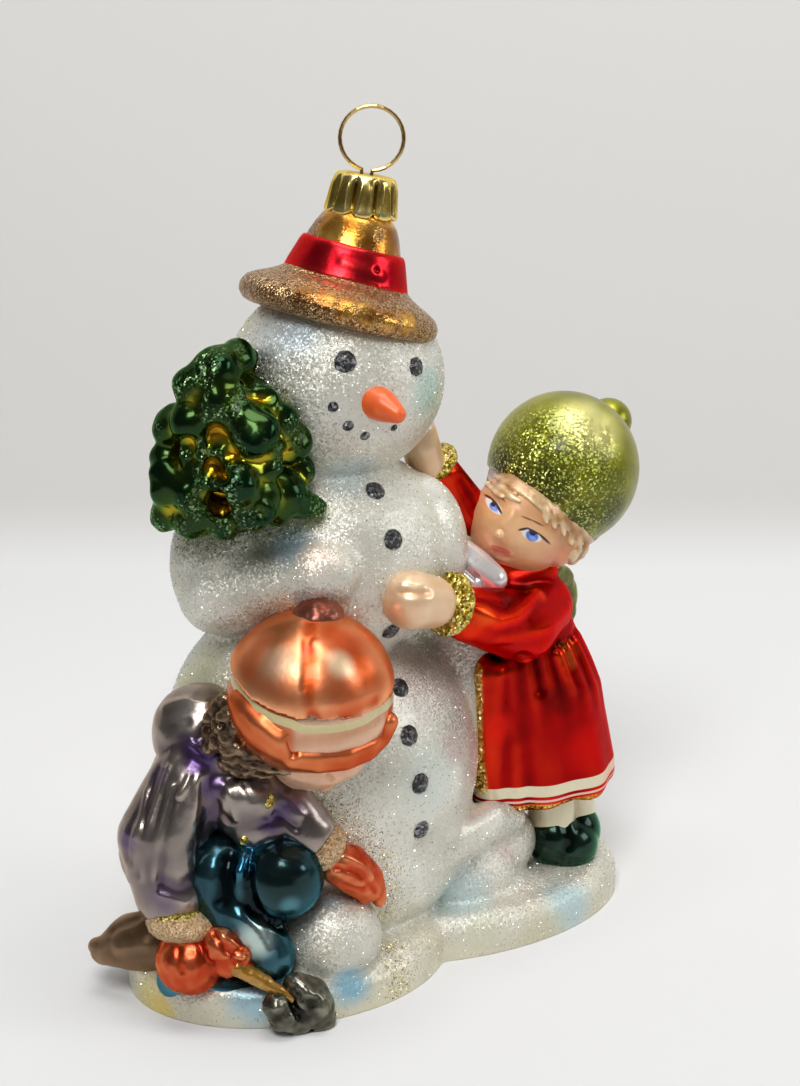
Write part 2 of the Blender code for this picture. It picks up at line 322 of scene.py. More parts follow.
class Brush:
    def __init__(self, name, rough=0.4, metal=0.0, coat=0.0, coatRough=0.1):
        self.material = bpy.data.materials.new(name)
        self.material.use_nodes = True
        self.nodes = self.material.node_tree.nodes
        self.links = self.material.node_tree.links
        self.shader = self.nodes["Principled BSDF"]
        self.set("Roughness", rough)
        self.set("Metallic", metal)
        self.set("Coat Weight", coat)
        self.set("Coat Roughness", coatRough)
        self.place = self.node("ShaderNodeTexCoord").outputs["Object"]

    def node(self, kind, settings=None, inputs=None):
        made = self.nodes.new(kind)
        for name, value in (settings or {}).items():
            if name == "stops":
                self.setStops(made, value)
            else:
                setattr(made, name, value)
        for name, value in (inputs or {}).items():
            value = getattr(value, "socket", value)
            if isinstance(value, bpy.types.NodeSocket):
                self.links.new(value, made.inputs[name])
            else:
                made.inputs[name].default_value = value
        return made

    def setStops(self, ramp, stops):
        elements = ramp.color_ramp.elements
        while len(elements) < len(stops):
            elements.new(1.0)
        for element, (place, colour) in zip(elements, stops):
            element.position = place
            element.color = (*colour, 1)

    def set(self, name, value):
        value = getattr(value, "socket", value)
        if isinstance(value, bpy.types.NodeSocket):
            self.links.new(value, self.shader.inputs[name])
        else:
            self.shader.inputs[name].default_value = value

    def noise(self, scale, detail=3.0, rough=0.55, stretch=None):
        where = self.place
        if stretch:
            where = self.node("ShaderNodeMapping", {}, {"Vector": where, "Scale": stretch}).outputs[0]
        made = self.node("ShaderNodeTexNoise", {}, {"Vector": where, "Scale": scale,
                                                    "Detail": detail, "Roughness": rough})
        return Tone(self, made.outputs["Fac"])

    def grains(self, scale, output="Distance"):
        made = self.node("ShaderNodeTexVoronoi", {}, {"Vector": self.place, "Scale": scale})
        return made.outputs[output]

    def share(self, name):
        made = self.node("ShaderNodeAttribute", {"attribute_name": name})
        return Tone(self, made.outputs["Fac"])

    def split(self, colour):
        made = self.node("ShaderNodeSeparateColor", {}, {"Color": colour})
        return [Tone(self, made.outputs[i]) for i in range(3)]

    def mix(self, amount, low, high):
        ends = [(*c, 1) if isinstance(c, tuple) else c for c in (low, high)]
        made = self.node("ShaderNodeMix", {"data_type": "RGBA"}, {0: amount, 6: ends[0], 7: ends[1]})
        return made.outputs[2]

    def ramp(self, amount, stops):
        made = self.node("ShaderNodeValToRGB", {"stops": stops}, {0: amount})
        return made.outputs[0]

    def vector(self, operation, *values):
        inputs = {i: v for i, v in enumerate(values)}
        made = self.node("ShaderNodeVectorMath", {"operation": operation}, inputs)
        return made.outputs["Value" if operation in ("LENGTH", "DOT_PRODUCT") else "Vector"]

    def gap(self, centre):
        # distance to a point of the object, in millimetres
        away = self.vector("SUBTRACT", self.place, tuple(centre))
        return Tone(self, self.vector("LENGTH", away)) * 1000.0

    def oval(self, centre, axes, radii):
        # 0 at the centre of an oval patch, 1 at its edge; axes are its two directions and its normal
        away = self.vector("SUBTRACT", self.place, tuple(centre))
        total = None
        for axis, radius in zip(axes, radii):
            part = Tone(self, self.vector("DOT_PRODUCT", away, tuple(axis))) * (1 / (radius * mm))
            total = part * part if total is None else total + part * part
        return total.maths("SQRT")

    def height(self):
        # height over the table, in millimetres
        parts = self.node("ShaderNodeSeparateXYZ", {}, {0: self.place})
        return Tone(self, parts.outputs[2]) * 1000.0

    def bump(self, height, strength, distance):
        made = self.node("ShaderNodeBump", {}, {"Height": height, "Strength": strength,
                                                "Distance": distance * mm})
        previous = self.shader.inputs["Normal"]
        if previous.is_linked:
            self.links.new(previous.links[0].from_socket, made.inputs["Normal"])
        self.set("Normal", made.outputs[0])

    def facets(self, scale, tilt, mask=None):
        # turns the surface of each small grain its own way, as flakes of glitter lie
        colour = self.grains(scale, "Color")
        lean = self.vector("SUBTRACT", colour, (0.5, 0.5, 0.5))
        amount = tilt if mask is None else (mask * tilt).socket
        made = self.node("ShaderNodeVectorMath", {"operation": "SCALE"}, {0: lean, "Scale": amount})
        previous = self.shader.inputs["Normal"]
        if previous.is_linked:
            base = previous.links[0].from_socket
        else:
            base = self.node("ShaderNodeNewGeometry").outputs["Normal"]
        total = self.vector("ADD", base, made.outputs["Vector"])
        self.set("Normal", self.vector("NORMALIZE", total))
        return self.split(colour)


def coat(piece, brush, slotName, node="glass_figure"):
    piece.data.materials.clear()
    piece.data.materials.append(brush.material)
    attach(piece, "root")
    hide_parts(node)
    return piece


def lacquer(name, deep, middle, bright, rough=0.3, metal=0.9, cloud=90.0, coatWeight=0.5):
    # see-through colour over silvered glass, deeper where it lies thick in the hollows; the darker hollows
    # are also painted shade and the bright ridges a painted highlight
    brush = Brush(name, rough, metal, coatWeight, 0.12)
    rise = brush.share("relief")
    level = (rise + (brush.noise(cloud, 3.0) - 0.5) * 0.75).clamp()
    colour = brush.ramp(level, [(0.0, deep), (0.5, middle), (1.0, bright)])
    brush.set("Base Color", colour)
    brush.set("Specular Tint", (*(tone / max(bright) for tone in bright), 1))
    brush.set("Roughness", (brush.noise(cloud * 2.2, 2.0) - 0.5) * 0.22 + rough)
    brush.bump(brush.noise(420.0, 2.0), 0.25, 0.25)
    brush.colour = colour
    return brush


def glitter(name, dark, middle, light, grain=2600.0, metal=0.75, rough=0.3):
    brush = Brush(name, rough, metal)
    tones = brush.facets(grain, 1.3)
    brush.set("Base Color", brush.ramp(tones[0], [(0.0, dark), (0.55, middle), (1.0, light)]))
    lump = Tone(brush, brush.grains(grain * 0.8))
    brush.bump(lump, 0.6, 0.25)
    return brush


goldGrains = ((0.16, 0.10, 0.0), (0.55, 0.40, 0.04), (1.0, 0.86, 0.36))


# Places and small sculpting tools that several pieces share

def spot(px, py, y):
    # the point of the plane y (in millimetres) that a pixel of the photograph shows, in millimetres
    eye, aim = sightLine(px, py)
    return (eye + aim * ((y * mm - eye.y) / aim.y)) / mm


def spots(rows):
    # rows of (pixel x, pixel y, plane y, radius) as stations of a limb
    return [(*spot(px, py, y), radius) for px, py, y, radius in rows]


def laid(surface, rows, rise=0.5):
    # rows of (pixel x, pixel y, radius) as stations that stand out from a surface by rise millimetres
    stations = []
    for px, py, radius in rows:
        place, normal = touch(surface, px, py)
        stations.append((*(place / mm + normal * (rise - radius)), radius))
    return stations


def tinted(brush, surface, colour, patches, ragged=3.0, core=0.25):
    # patches of colour, from washes of paint to painted shade and painted highlights: pixel, reach in
    # millimetres, colour, strength; core is the full part of the reach
    edge = (brush.noise(300.0, 3.0) - 0.5) * ragged
    for (px, py), reach, tint, strength in patches:
        mask = (brush.gap(touch(surface, px, py)[0]) + edge).step(reach, reach * core) * strength
        colour = brush.mix(mask.socket, colour, tint)
    return colour


def scatter(name, piece, count, size, near=None):
    # small flat chips lying on a surface, at seeded random places
    mesh = piece.data
    mesh.calc_loop_triangles()
    corners = np.empty(len(mesh.loop_triangles) * 3, dtype=np.int64)
    mesh.loop_triangles.foreach_get("vertices", corners)
    a, b, c = (points(piece)[corners[i::3]] for i in range(3))
    normal = np.cross(b - a, c - a)
    weight = np.linalg.norm(normal, axis=1) * (a[:, 2] > 0.4 * mm)
    if near is not None:
        path, reach = near
        weight = weight * np.clip(1.2 - nearPath((a + b + c) / 3, path) / (reach * mm), 0, 1) ** 2
    chosen = dice.choice(len(weight), count, p=weight / weight.sum())
    u, v = np.sqrt(dice.random(count))[:, None], dice.random(count)[:, None]
    place = a[chosen] * (1 - u) + b[chosen] * u * (1 - v) + c[chosen] * u * v
    up = normal[chosen] / np.linalg.norm(normal[chosen], axis=1)[:, None]
    up = up + dice.normal(0, 0.35, (count, 3))
    up /= np.linalg.norm(up, axis=1)[:, None]
    side = np.cross(up, dice.normal(0, 1, (count, 3)))
    side /= np.linalg.norm(side, axis=1)[:, None]
    other = np.cross(up, side)
    scale = size * mm * dice.uniform(0.5, 1.2, count)[:, None]
    tips = [place + side * scale, place + (other * 0.87 - side * 0.5) * scale,
            place - (other * 0.87 + side * 0.5) * scale, place + up * scale * 0.7]
    verts = np.stack(tips, axis=1).reshape(-1, 3)
    base = np.arange(count)[:, None] * 4
    faces = np.concatenate([base + np.array(f) for f in ((0, 1, 3), (1, 2, 3), (2, 0, 3), (0, 2, 1))])
    made = bpy.data.meshes.new(name)
    made.from_pydata(verts.tolist(), [], faces.tolist())
    chips = bpy.data.objects.new(name, made)
    bpy.context.scene.collection.objects.link(chips)
    return chips


def gapShare(piece, name, paths):
    # distance in millimetres from seen lines, as an attribute
    surface = surfaceOf(piece)
    places = points(piece)
    gaps = [nearPath(places, seenPath(surface, pixels)) for pixels in paths]
    setShare(piece, name, np.minimum.reduce(gaps) / mm)


def clouds(piece, size, height):
    # crumples a surface with soft noise, size and height in millimetres
    texture = bpy.data.textures.new(piece.name, "CLOUDS")
    texture.noise_scale = size * mm
    useModifier(piece, "DISPLACE", texture=texture, strength=height * mm, mid_level=0.5,
                texture_coords="LOCAL")


def keepSide(piece, place, normal):
    # keeps what lies on the side of a plane that its normal points to
    pick(piece)
    bpy.ops.object.mode_set(mode="EDIT")
    bpy.ops.mesh.select_all(action="SELECT")
    bpy.ops.mesh.bisect(plane_co=Vector(place) * mm, plane_no=normal, use_fill=True, clear_inner=True)
    bpy.ops.object.mode_set(mode="OBJECT")


def formed(spec):
    # the balls, limbs and seen limbs of one piece, fused to one skin
    parts = [ball(*form) for form in spec.get("balls", [])]
    parts += [ball(spot(px, py, y), (r, r, r)) for px, py, y, r in spec.get("lumps", [])]
    for stations in spec.get("limbs", []):
        parts += limb(stations)
    for rows in spec.get("runs", []):
        parts += limb(spots(rows))
    piece = fuse(spec["name"], parts, spec["grid"], spec["soft"])
    if points(piece)[:, 2].min() < 0.4 * mm:
        keepSide(piece, (0, 0, 0.4), (0, 0, 1))
    if "strokes" in spec:
        strokesSeen(piece, spec["strokes"])
    return piece


def makePlain(spec, crumple, ridges, slotName, *finish):
    # a piece with one lacquer, with painted shade in its hollows and a painted highlight on its ridges:
    # crumple as size and height, ridges as rounds and span of its relief
    piece = formed(spec)
    if crumple:
        clouds(piece, *crumple)
        smoothShade(piece)
    relief(piece, *ridges)
    return coat(piece, lacquer(*finish), slotName)


# Snow: the snowman, its arm, the base, the drift and the snowball are one white skin

snowForms = {
    "name": "snow",
    "balls": [
        ((0, 1, 31), (28.3, 20.3, 26.5)), ((0, 1, 18), (27.5, 20, 17)),
        ((18, 2.5, 33), (13, 11.5, 20)), ((-6, 2.5, 41.5), (21.6, 16.5, 21.5)),
        ((1.5, -0.5, 70), (20.8, 17.3, 17.8)),
        ((14, -5, 70), (9, 9, 13)),
        ((2, 0, 99.5), (18.2, 16.8, 16.4)),
        ((-18.5, 2, 71), (8.5, 9, 12)),
        ((-10.5, -18.2, 10.5), (8.4, 7.8, 8.2)),
        ((24, -5, 9), (11, 9, 8)),
        ((30, -10, 3.6), (13, 7.5, 4.4)),
        ((28, 1, 62), (9, 5.5, 11)), ((27, 1, 38), (9, 7.5, 20)), ((30, -1.5, 12), (11, 9, 7.6)),
    ],
    "limbs": [
        [(-20.8, -1, 67.3, 6.9), (-10, -11, 71, 6)],
        [(-10, -13, 72, 5.5), (-8, -14, 72, 5)],
    ],
    "runs": [[(438, 860, -14.2, 2.6), (460, 840, -12.4, 3.4), (486, 822, -9.5, 3.6), (506, 818, -7, 3.6)]],
    "slabs": [((27, 0.5, 0.4), (31.7, 20.8), 13, 3.2), ((-10, -3, 0.5), (28.2, 22.8), 13, 3.2)],
    "grid": 0.68, "soft": 6,
    "strokes": [
        ([(448, 835), (470, 822), (495, 812)], 4.0, 0.9),
        ([(300, 985), (345, 985), (385, 965)], 3.0, -0.5),
        ([(405, 945), (450, 925), (500, 905)], 4.0, 0.5),
    ],
}

snowWashesAndShade = [
    # washes of paint, with painted shade in the brownish patch beside the dress at (455, 745) and the beige
    # patch under the mouth at (348, 420): pixel, reach in millimetres, colour, strength
    ((190, 690), 13, (0.72, 0.70, 0.45), 0.75), ((235, 320), 7, (0.78, 0.74, 0.50), 0.8),
    ((178, 600), 8, (0.76, 0.74, 0.55), 0.5), ((150, 1000), 7, (0.78, 0.66, 0.25), 0.9),
    ((430, 390), 6, (0.42, 0.62, 0.56), 0.7), ((290, 325), 9, (0.62, 0.72, 0.76), 0.6),
    ((290, 545), 5, (0.40, 0.62, 0.74), 0.7), ((320, 556), 5, (0.80, 0.56, 0.44), 0.6),
    ((462, 700), 6, (0.74, 0.60, 0.60), 0.55), ((430, 780), 9, (0.60, 0.70, 0.66), 0.5),
    ((350, 985), 5, (0.22, 0.50, 0.66), 0.8), ((255, 1000), 7, (0.30, 0.56, 0.70), 0.75),
    ((570, 905), 8, (0.42, 0.64, 0.70), 0.7), ((505, 850), 4, (0.70, 0.52, 0.50), 0.5),
    ((400, 1000), 8, (0.76, 0.72, 0.52), 0.7), ((350, 470), 6, (0.55, 0.66, 0.68), 0.6),
    ((262, 365), 4, (0.10, 0.11, 0.09), 0.8), ((290, 410), 3.4, (0.16, 0.18, 0.12), 0.8),
    ((315, 512), 3.4, (0.34, 0.40, 0.12), 0.8), ((205, 540), 5, (0.40, 0.42, 0.30), 0.6),
    ((600, 840), 9, (0.80, 0.76, 0.62), 0.6), ((330, 610), 9, (0.62, 0.66, 0.62), 0.5),
    ((455, 745), 5, (0.56, 0.44, 0.40), 0.7), ((462, 810), 4, (0.62, 0.52, 0.48), 0.5),
    ((430, 650), 4, (0.46, 0.50, 0.44), 0.5), ((348, 420), 9, (0.60, 0.56, 0.50), 0.5),
    ((330, 900), 3, (0.52, 0.66, 0.74), 0.6), ((352, 560), 10, (0.72, 0.68, 0.58), 0.5),
    ((300, 335), 4, (0.74, 0.86, 0.94), 0.6), ((160, 1010), 4, (0.80, 0.62, 0.16), 0.8),
    ((430, 940), 7, (0.70, 0.64, 0.46), 0.6), ((480, 930), 5, (0.70, 0.70, 0.50), 0.6),
    ((460, 895), 8, (0.42, 0.62, 0.68), 0.5), ((545, 935), 7, (0.66, 0.62, 0.42), 0.6),
    ((185, 640), 9, (0.56, 0.66, 0.62), 0.5), ((320, 945), 5, (0.66, 0.60, 0.46), 0.5),
]


def makeSnow():
    parts = [slab(*s) for s in snowForms["slabs"]]
    parts += [ball(place, size) for place, size in snowForms["balls"]]
    for stations in snowForms["limbs"] + [spots(rows) for rows in snowForms["runs"]]:
        parts += limb(stations)
    made = fuse("snow", parts, snowForms["grid"], snowForms["soft"])
    keepSide(made, (0, 0, 0), (0, 0, 1))
    strokesSeen(made, snowForms["strokes"])
    smoothShade(made)
    return made


def paintSnow(piece):
    brush = Brush("frostedSnow", 0.38, 0.4, 0.2, 0.25)
    cloud = brush.noise(70.0, 4.0)
    colour = brush.ramp(cloud, [(0.3, (0.53, 0.52, 0.43)), (0.5, (0.71, 0.695, 0.60)),
                                (0.72, (0.88, 0.865, 0.78))])
    height = brush.height()
    low = (height + (brush.noise(160.0, 3.0) - 0.5) * 6.0).step(9.0, 1.0) * 0.65
    colour = brush.mix(low.socket, colour, (0.74, 0.69, 0.50))
    surface = surfaceOf(piece)
    # washes of paint and patches of painted shade
    brush.set("Base Color", tinted(brush, surface, colour, snowWashesAndShade))
    frost = brush.noise(55.0, 3.0).step(0.38, 0.6)
    brush.facets(3600.0, 0.62, frost * 0.75 + 0.25)
    brush.bump(brush.noise(1500.0, 3.0) * (frost * 0.8 + 0.2), 0.8, 0.3)
    coat(piece, brush, "frosted_snow")


sprays = [
    # name, count, size in millimetres, seen path or none, reach, colours dark to light, slot
    ("frostGrains", 22000, 0.165, None, 0, [(0.55, 0.55, 0.50), (0.95, 0.95, 0.90)], "frosted_snow"),
    ("goldSpray", 2600, 0.16, [(306, 800), (345, 822), (378, 862), (388, 905), (392, 950), (398, 985)], 5.0,
     [(0.30, 0.22, 0.08), (0.95, 0.82, 0.45)], "gold_glitter"),
    ("greenSpray", 1500, 0.16, [(186, 540), (232, 538), (276, 530), (318, 516)], 3.2,
     [(0.10, 0.12, 0.05), (0.70, 0.74, 0.45)], "fir_lacquer"),
    ("darkSpray", 1300, 0.16, [(250, 362), (270, 385), (286, 408), (298, 432)], 2.6,
     [(0.01, 0.01, 0.01), (0.40, 0.40, 0.30)], "coal_glitter"),
]


def makeSprays():
    surface = surfaceOf(snow)
    for name, count, size, pixels, reach, tints, slotName in sprays:
        near = (seenPath(surface, pixels), reach) if pixels else None
        chips = scatter(name, snow, count, size, near)
        brush = Brush(name, 0.22, 0.8)
        tones = brush.split(brush.grains(2600.0, "Color"))
        brush.set("Base Color", brush.ramp(tones[0], [(0.2, tints[0]), (0.8, tints[1])]))
        coat(chips, brush, slotName)


snow = makeSnow()
paintSnow(snow)
makeSprays()
print("snow", len(snow.data.polygons))


# Coal: eyes, mouth and buttons, one lump copied to each place

coalPlaces = {
    "eyes": [(345, 362, 1.75), (416, 367, 1.5)],
    "mouth": [(333, 407, 0.85), (348, 426, 0.9), (365, 436, 0.8), (394, 428, 0.6)],
    "buttons": [(375, 491, 1.65), (393, 540, 1.7), (391, 631, 1.6), (400, 688, 1.65),
                (409, 736, 1.75), (420, 784, 1.75), (421, 830, 1.6)],
}


def makeCoal():
    surface = surfaceOf(snow)
    lump = ball((0, 0, 0), (1, 1, 1), rings=14)
    lump.scale = (1, 1, 1)
    texture = bpy.data.textures.new("coalLump", "CLOUDS")
    texture.noise_scale = 0.7
    useModifier(lump, "DISPLACE", texture=texture, strength=0.35, mid_level=0.5)
    copies = []
    for places in coalPlaces.values():
        for px, py, radius in places:
            place, normal = touch(surface, px, py)
            copy = lump.copy()
            copy.data = lump.data.copy()
            bpy.context.scene.collection.objects.link(copy)
            turn = normal.to_track_quat("Z", "Y").to_matrix().to_4x4()
            size = Matrix.Diagonal((radius * mm, radius * mm, radius * 0.45 * mm, 1))
            copy.matrix_world = Matrix.Translation(place) @ turn @ size
            copies.append(copy)
    bpy.data.objects.remove(lump)
    coal = joined("coal", copies)
    smoothShade(coal)
    brush = Brush("coalGlitter", 0.35, 0.2, 0.3)
    tones = brush.facets(2400.0, 1.2)
    brush.set("Base Color", brush.ramp(tones[0], [(0.0, (0.01, 0.01, 0.012)), (0.72, (0.02, 0.02, 0.02)),
                                                  (0.9, (0.35, 0.36, 0.38))]))
    brush.set("Metallic", tones[0].step(0.7, 0.9))
    coat(coal, brush, "coal_glitter")


makeCoal()


# Nose: a short carrot

noseForm = {
    "name": "nose", "grid": 0.3, "soft": 4,
    "limbs": [[(-0.6, -14.6, 99.4, 2.9), (0.1, -17.0, 98.8, 2.6), (0.9, -20.0, 97.9, 1.5)]],
}


def makeNose():
    nose = formed(noseForm)
    brush = Brush("noseLacquer", 0.42, 0.15, 0.25, 0.15)
    streak = brush.noise(260.0, 3.0)
    brush.set("Base Color", brush.ramp(streak, [(0.3, (0.80, 0.10, 0.02)), (0.7, (0.95, 0.17, 0.03))]))
    brush.bump(brush.noise(500.0, 2.0), 0.3, 0.2)
    coat(nose, brush, "nose_lacquer")


makeNose()
print("coal and nose")


# Hat: rolled brim, leaning crown and red band

hat = {
    "place": (3.1, 0, 112.6), "lean": 17,
    "profile": [(0, -2.5), (13.6, -4.0), (15.4, -3.6), (16.4, -2.4), (16.5, -1.1), (15.7, 0.2), (14.2, 1.1),
                (12.2, 2.0), (10.6, 2.9), (9.6, 4.0), (9.0, 5.2), (8.4, 7.0), (7.7, 9.2), (7.0, 11.2),
                (6.2, 12.8), (5.2, 13.8), (4.0, 14.2), (0, 14.2)],
    "band": [(8.4, 2.9), (10.3, 3.2), (9.9, 4.4), (9.3, 6.2), (8.7, 8.0), (8.3, 8.7), (7.2, 8.9),
             (8.4, 2.9)],
}


def hatSpace(piece):
    # the points in the hat's own leaning frame
    turn = Matrix.Rotation(math.radians(hat["lean"]), 3, "Y").inverted()
    return (points(piece) - np.array(hat["place"]) * mm) @ np.array(turn).T


def makeHat():
    felt = turned("hatFelt", hat["profile"], hat["place"], hat["lean"])
    useModifier(felt, "REMESH", mode="VOXEL", voxel_size=0.44 * mm)
    useModifier(felt, "SMOOTH", factor=0.5, iterations=2)
    clouds(felt, 7.0, 0.4)
    strokesSeen(felt, [([(300, 280), (340, 290), (380, 302), (412, 312)], 2.2, 0.35)])
    smoothShade(felt)
    setShare(felt, "crown", hatSpace(felt)[:, 2] / mm)
    brush = Brush("copperGlitter", 0.28, 0.85)
    ragged = (brush.noise(320.0, 3.0) - 0.5) * 3.0
    surface = surfaceOf(felt)
    glossy = (brush.share("crown") + ragged).step(7.2,
                                                  9.2) * (1.0 - brush.noise(110.0, 2.0).step(0.52,
                                                                                             0.6) * 0.7)
    for pixel in [(304, 293), (325, 300), (346, 307), (368, 314), (390, 319), (408, 322)]:
        glossy = glossy.either((brush.gap(touch(surface, *pixel)[0]) + ragged * 0.5).step(2.8, 1.0) * 0.8)
    tones = brush.facets(5200.0, 0.9, 1.0 - glossy * 0.9)
    rough = brush.ramp(tones[0], [(0.0, (0.09, 0.04, 0.014)), (0.55, (0.30, 0.15, 0.055)),
                                  (1.0, (0.85, 0.60, 0.32))])
    smooth = brush.ramp(brush.noise(130.0, 2.0), [(0.32, (0.08, 0.022, 0.003)), (0.5, (0.38, 0.14, 0.012)),
                                                  (0.68, (0.85, 0.48, 0.10))])
    brush.set("Base Color", brush.mix(glossy.socket, rough, smooth))
    brush.set("Roughness", 0.34 - glossy * 0.12)
    coat(felt, brush, "copper_glitter")
    band = turned("hatBand", hat["band"], hat["place"], hat["lean"])
    useModifier(band, "REMESH", mode="VOXEL", voxel_size=0.3 * mm)
    useModifier(band, "SMOOTH", factor=0.5, iterations=5)
    clouds(band, 6.0, 0.25)
    strokesSeen(band, [([(376, 270)], 0.8, -0.35), ([(345, 262), (362, 268), (380, 275)], 1.6, 0.2)])
    smoothShade(band)
    relief(band)
    brush = lacquer("bandLacquer", (0.16, 0.0, 0.008), (0.50, 0.005, 0.015), (0.90, 0.04, 0.04), 0.28, 0.95,
                    90.0, 0.12)
    coat(band, brush, "red_lacquer")


makeHat()
print("hat")


# Fir: lumps of branches, the back a mirror of the front

fir = {
    # lobes as pixel, plane y and radius; drapes as rows of them
    "lobes": [(214, 372, -9, 4.6), (236, 358, -7, 3.4), (196, 384, -7, 4.0), (173, 424, -3, 3.8),
              (190, 420, -8, 3.8), (255, 432, -15.5, 4.6), (236, 410, -12, 4.2), (262, 402, -11, 3.4),
              (167, 455, -2, 3.2), (176, 485, -5, 4.6), (170, 512, -3, 3.6), (200, 478, -9, 3.6),
              (236, 482, -15, 4.4), (252, 506, -15, 4.2), (284, 490, -13.5, 3.8), (300, 470, -10, 3.0),
              (196, 516, -8, 4.2), (226, 522, -11.5, 3.4), (288, 440, -11.5, 4.2), (216, 400, -9, 4.4),
              (204, 450, -9, 4.2), (262, 456, -14, 4.4), (280, 420, -12, 3.4)],
    "drapes": [[(284, 494, -13.5, 3.2), (304, 504, -13.0, 2.4), (320, 507, -12.6, 1.3)],
               [(236, 360, -8, 2.8), (236, 348, -7, 1.6)],
               [(164, 474, -4, 2.6), (186, 492, -9, 2.4), (204, 516, -10.5, 2.4)],
               [(232, 484, -15.5, 3.0), (262, 494, -15, 2.8), (276, 512, -14, 2.4)],
               [(216, 395, -11, 3.0), (206, 430, -10, 2.4), (222, 452, -12, 2.2)]],
    "core": ((-18.5, -4, 91), (9, 8.2, 13)),
    "behind": [((-15, 3.6, 97), 4.6), ((-21, 4.2, 92), 4.8), ((-15, 4.6, 88), 4.6), ((-22, 3.4, 84.5), 4.4),
               ((-17.5, 2.4, 102.5), 3.8), ((-25, 0.5, 88), 4.4), ((-23, 0, 97.5), 4.2)],
    "hollows": [([(188, 446), (190, 460)], 2.6, -1.4), ([(210, 466), (220, 474)], 2.4, -1.6),
                ([(218, 496), (222, 508)], 2.2, -1.8), ([(214, 434), (208, 444)], 2.4, -1.6),
                ([(252, 394), (268, 396)], 2.0, -1.2), ([(268, 462), (290, 456)], 2.4, -1.2),
                ([(262, 512), (268, 518)], 1.4, -0.8), ([(206, 366), (204, 376)], 1.2, -0.7)],
    "grid": 0.45,
}


def makeFir():
    parts = [ball(*fir["core"])]
    parts += [ball(place, (radius, radius, radius * 0.85), (20, -30, place[2] * 9)) for place,
              radius in fir["behind"]]
    for px, py, y, radius in fir["lobes"]:
        place = spot(px, py, y)
        parts.append(ball(place, (radius, radius * 0.9, radius * 0.8), (20, 30, px)))
        if px < 270:
            away = Vector((math.sin(math.radians(view["azimuth"])),
                           -math.cos(math.radians(view["azimuth"])), 0))
            depth = (place - Vector(fir["core"][0])).dot(away)
            behind = place - away * 2 * depth - Vector((0, 0, 0.6 * depth))
            parts.append(ball(behind, (radius, radius, radius * 0.85), (20, -30, px)))
    for rows in fir["drapes"]:
        parts += limb(spots(rows))
    piece = fuse("fir", parts, fir["grid"], 22)
    clouds(piece, 5.6, 1.3)
    strokesSeen(piece, fir["hollows"])
    useModifier(piece, "SMOOTH", factor=0.5, iterations=3)
    smoothShade(piece)
    relief(piece, 60, 1.1)
    brush = Brush("firLacquer", 0.2, 0.93, 0.2, 0.08)
    brush.set("Specular Tint", (0.45, 0.7, 0.28, 1))
    rise = brush.share("relief")
    level = (rise + (brush.noise(150.0, 2.0) - 0.5) * 0.45).clamp()
    colour = brush.ramp(level, [(0.08, (0.05, 0.02, 0.004)), (0.24, (0.62, 0.32, 0.01)),
                                (0.38, (0.26, 0.27, 0.015)),
                                (0.50, (0.03, 0.06, 0.006)), (0.75, (0.004, 0.028, 0.009))])
    patch = brush.noise(130.0, 2.0).step(0.50, 0.62) * level.step(0.46, 0.64)
    tones = brush.facets(3000.0, 1.2, patch)
    spark = tones[0].step(0.74, 0.92) * patch
    brush.set("Base Color", brush.mix(spark.socket, colour, (0.34, 0.56, 0.26)))
    brush.set("Roughness", patch * 0.2 + 0.2)
    coat(piece, brush, "fir_lacquer")


makeFir()
print("fir")


# Standing child

rimNormal = (0.638, -0.138, 0.759)
girl = {
    "cap": {"centre": (46.1, -3.0, 78.5), "size": (13.4, 12.9, 13.5), "rim": (539, 502, -12)},
    "nub": ((58.7, 0.6, 84.6), (3.8, 4.4, 4.0)),
    "nape": ((44.9, -2.0, 74.6), (12.0, 11.5, 11.6)),
    "head": {"name": "girlHead", "grid": 0.36, "soft": 4,
             "balls": [((44.4, -2.8, 75), (11.4, 10.8, 11)), ((35.9, -5.2, 70.9), (9.6, 8.5, 9.0)),
                       ((41, -5.8, 68.2), (7.4, 7.0, 5.6)), ((34.4, -6.4, 67.8), (4.9, 4.4, 4.2))],
             "lumps": [(499, 535, -12.9, 0.9), (556, 552, -10.0, 2.6)],
             "strokes": [([(494, 506)], 2.4, -0.4), ([(531, 534)], 2.6, -0.4),
                         ([(491, 547), (501, 550), (510, 555)], 0.8, 0.22),
                         ([(493, 550), (502, 553), (510, 557)], 0.5, -0.2),
                         ([(498, 558), (507, 561)], 0.8, 0.2),
                         ([(512, 515), (505, 526), (499, 535)], 1.3, 0.3)]},
    # strands as pixel and radius
    "strands": [
        [(490, 468, 1.1), (502, 479, 1.1), (517, 490, 0.9), (532, 499, 0.4)],
        [(498, 467, 1.1), (511, 478, 1.1), (526, 488, 0.9), (540, 498, 0.4)],
        [(489, 476, 1.0), (500, 488, 0.9), (511, 497, 0.7), (520, 502, 0.3)],
        [(488, 484, 0.8), (496, 493, 0.6), (503, 498, 0.3)],
        [(512, 482, 1.1), (526, 492, 0.9), (538, 499, 0.5)],
        [(538, 499, 1.0), (545, 510, 0.9), (546, 522, 0.4)],
        [(547, 503, 1.0), (553, 514, 0.9), (554, 527, 0.4)],
        [(556, 508, 1.0), (562, 520, 0.9), (563, 534, 0.4)],
        [(564, 514, 1.1), (571, 528, 1.0), (571, 543, 0.5)],
        [(572, 521, 1.2), (579, 536, 1.1), (579, 551, 0.7)],
        [(580, 529, 1.2), (587, 543, 1.1), (586, 557, 0.8)],
    ],
    "curls": [(573, 556, 1.7), (583, 551, 1.8), (589, 562, 1.4), (576, 565, 1.3)],
}


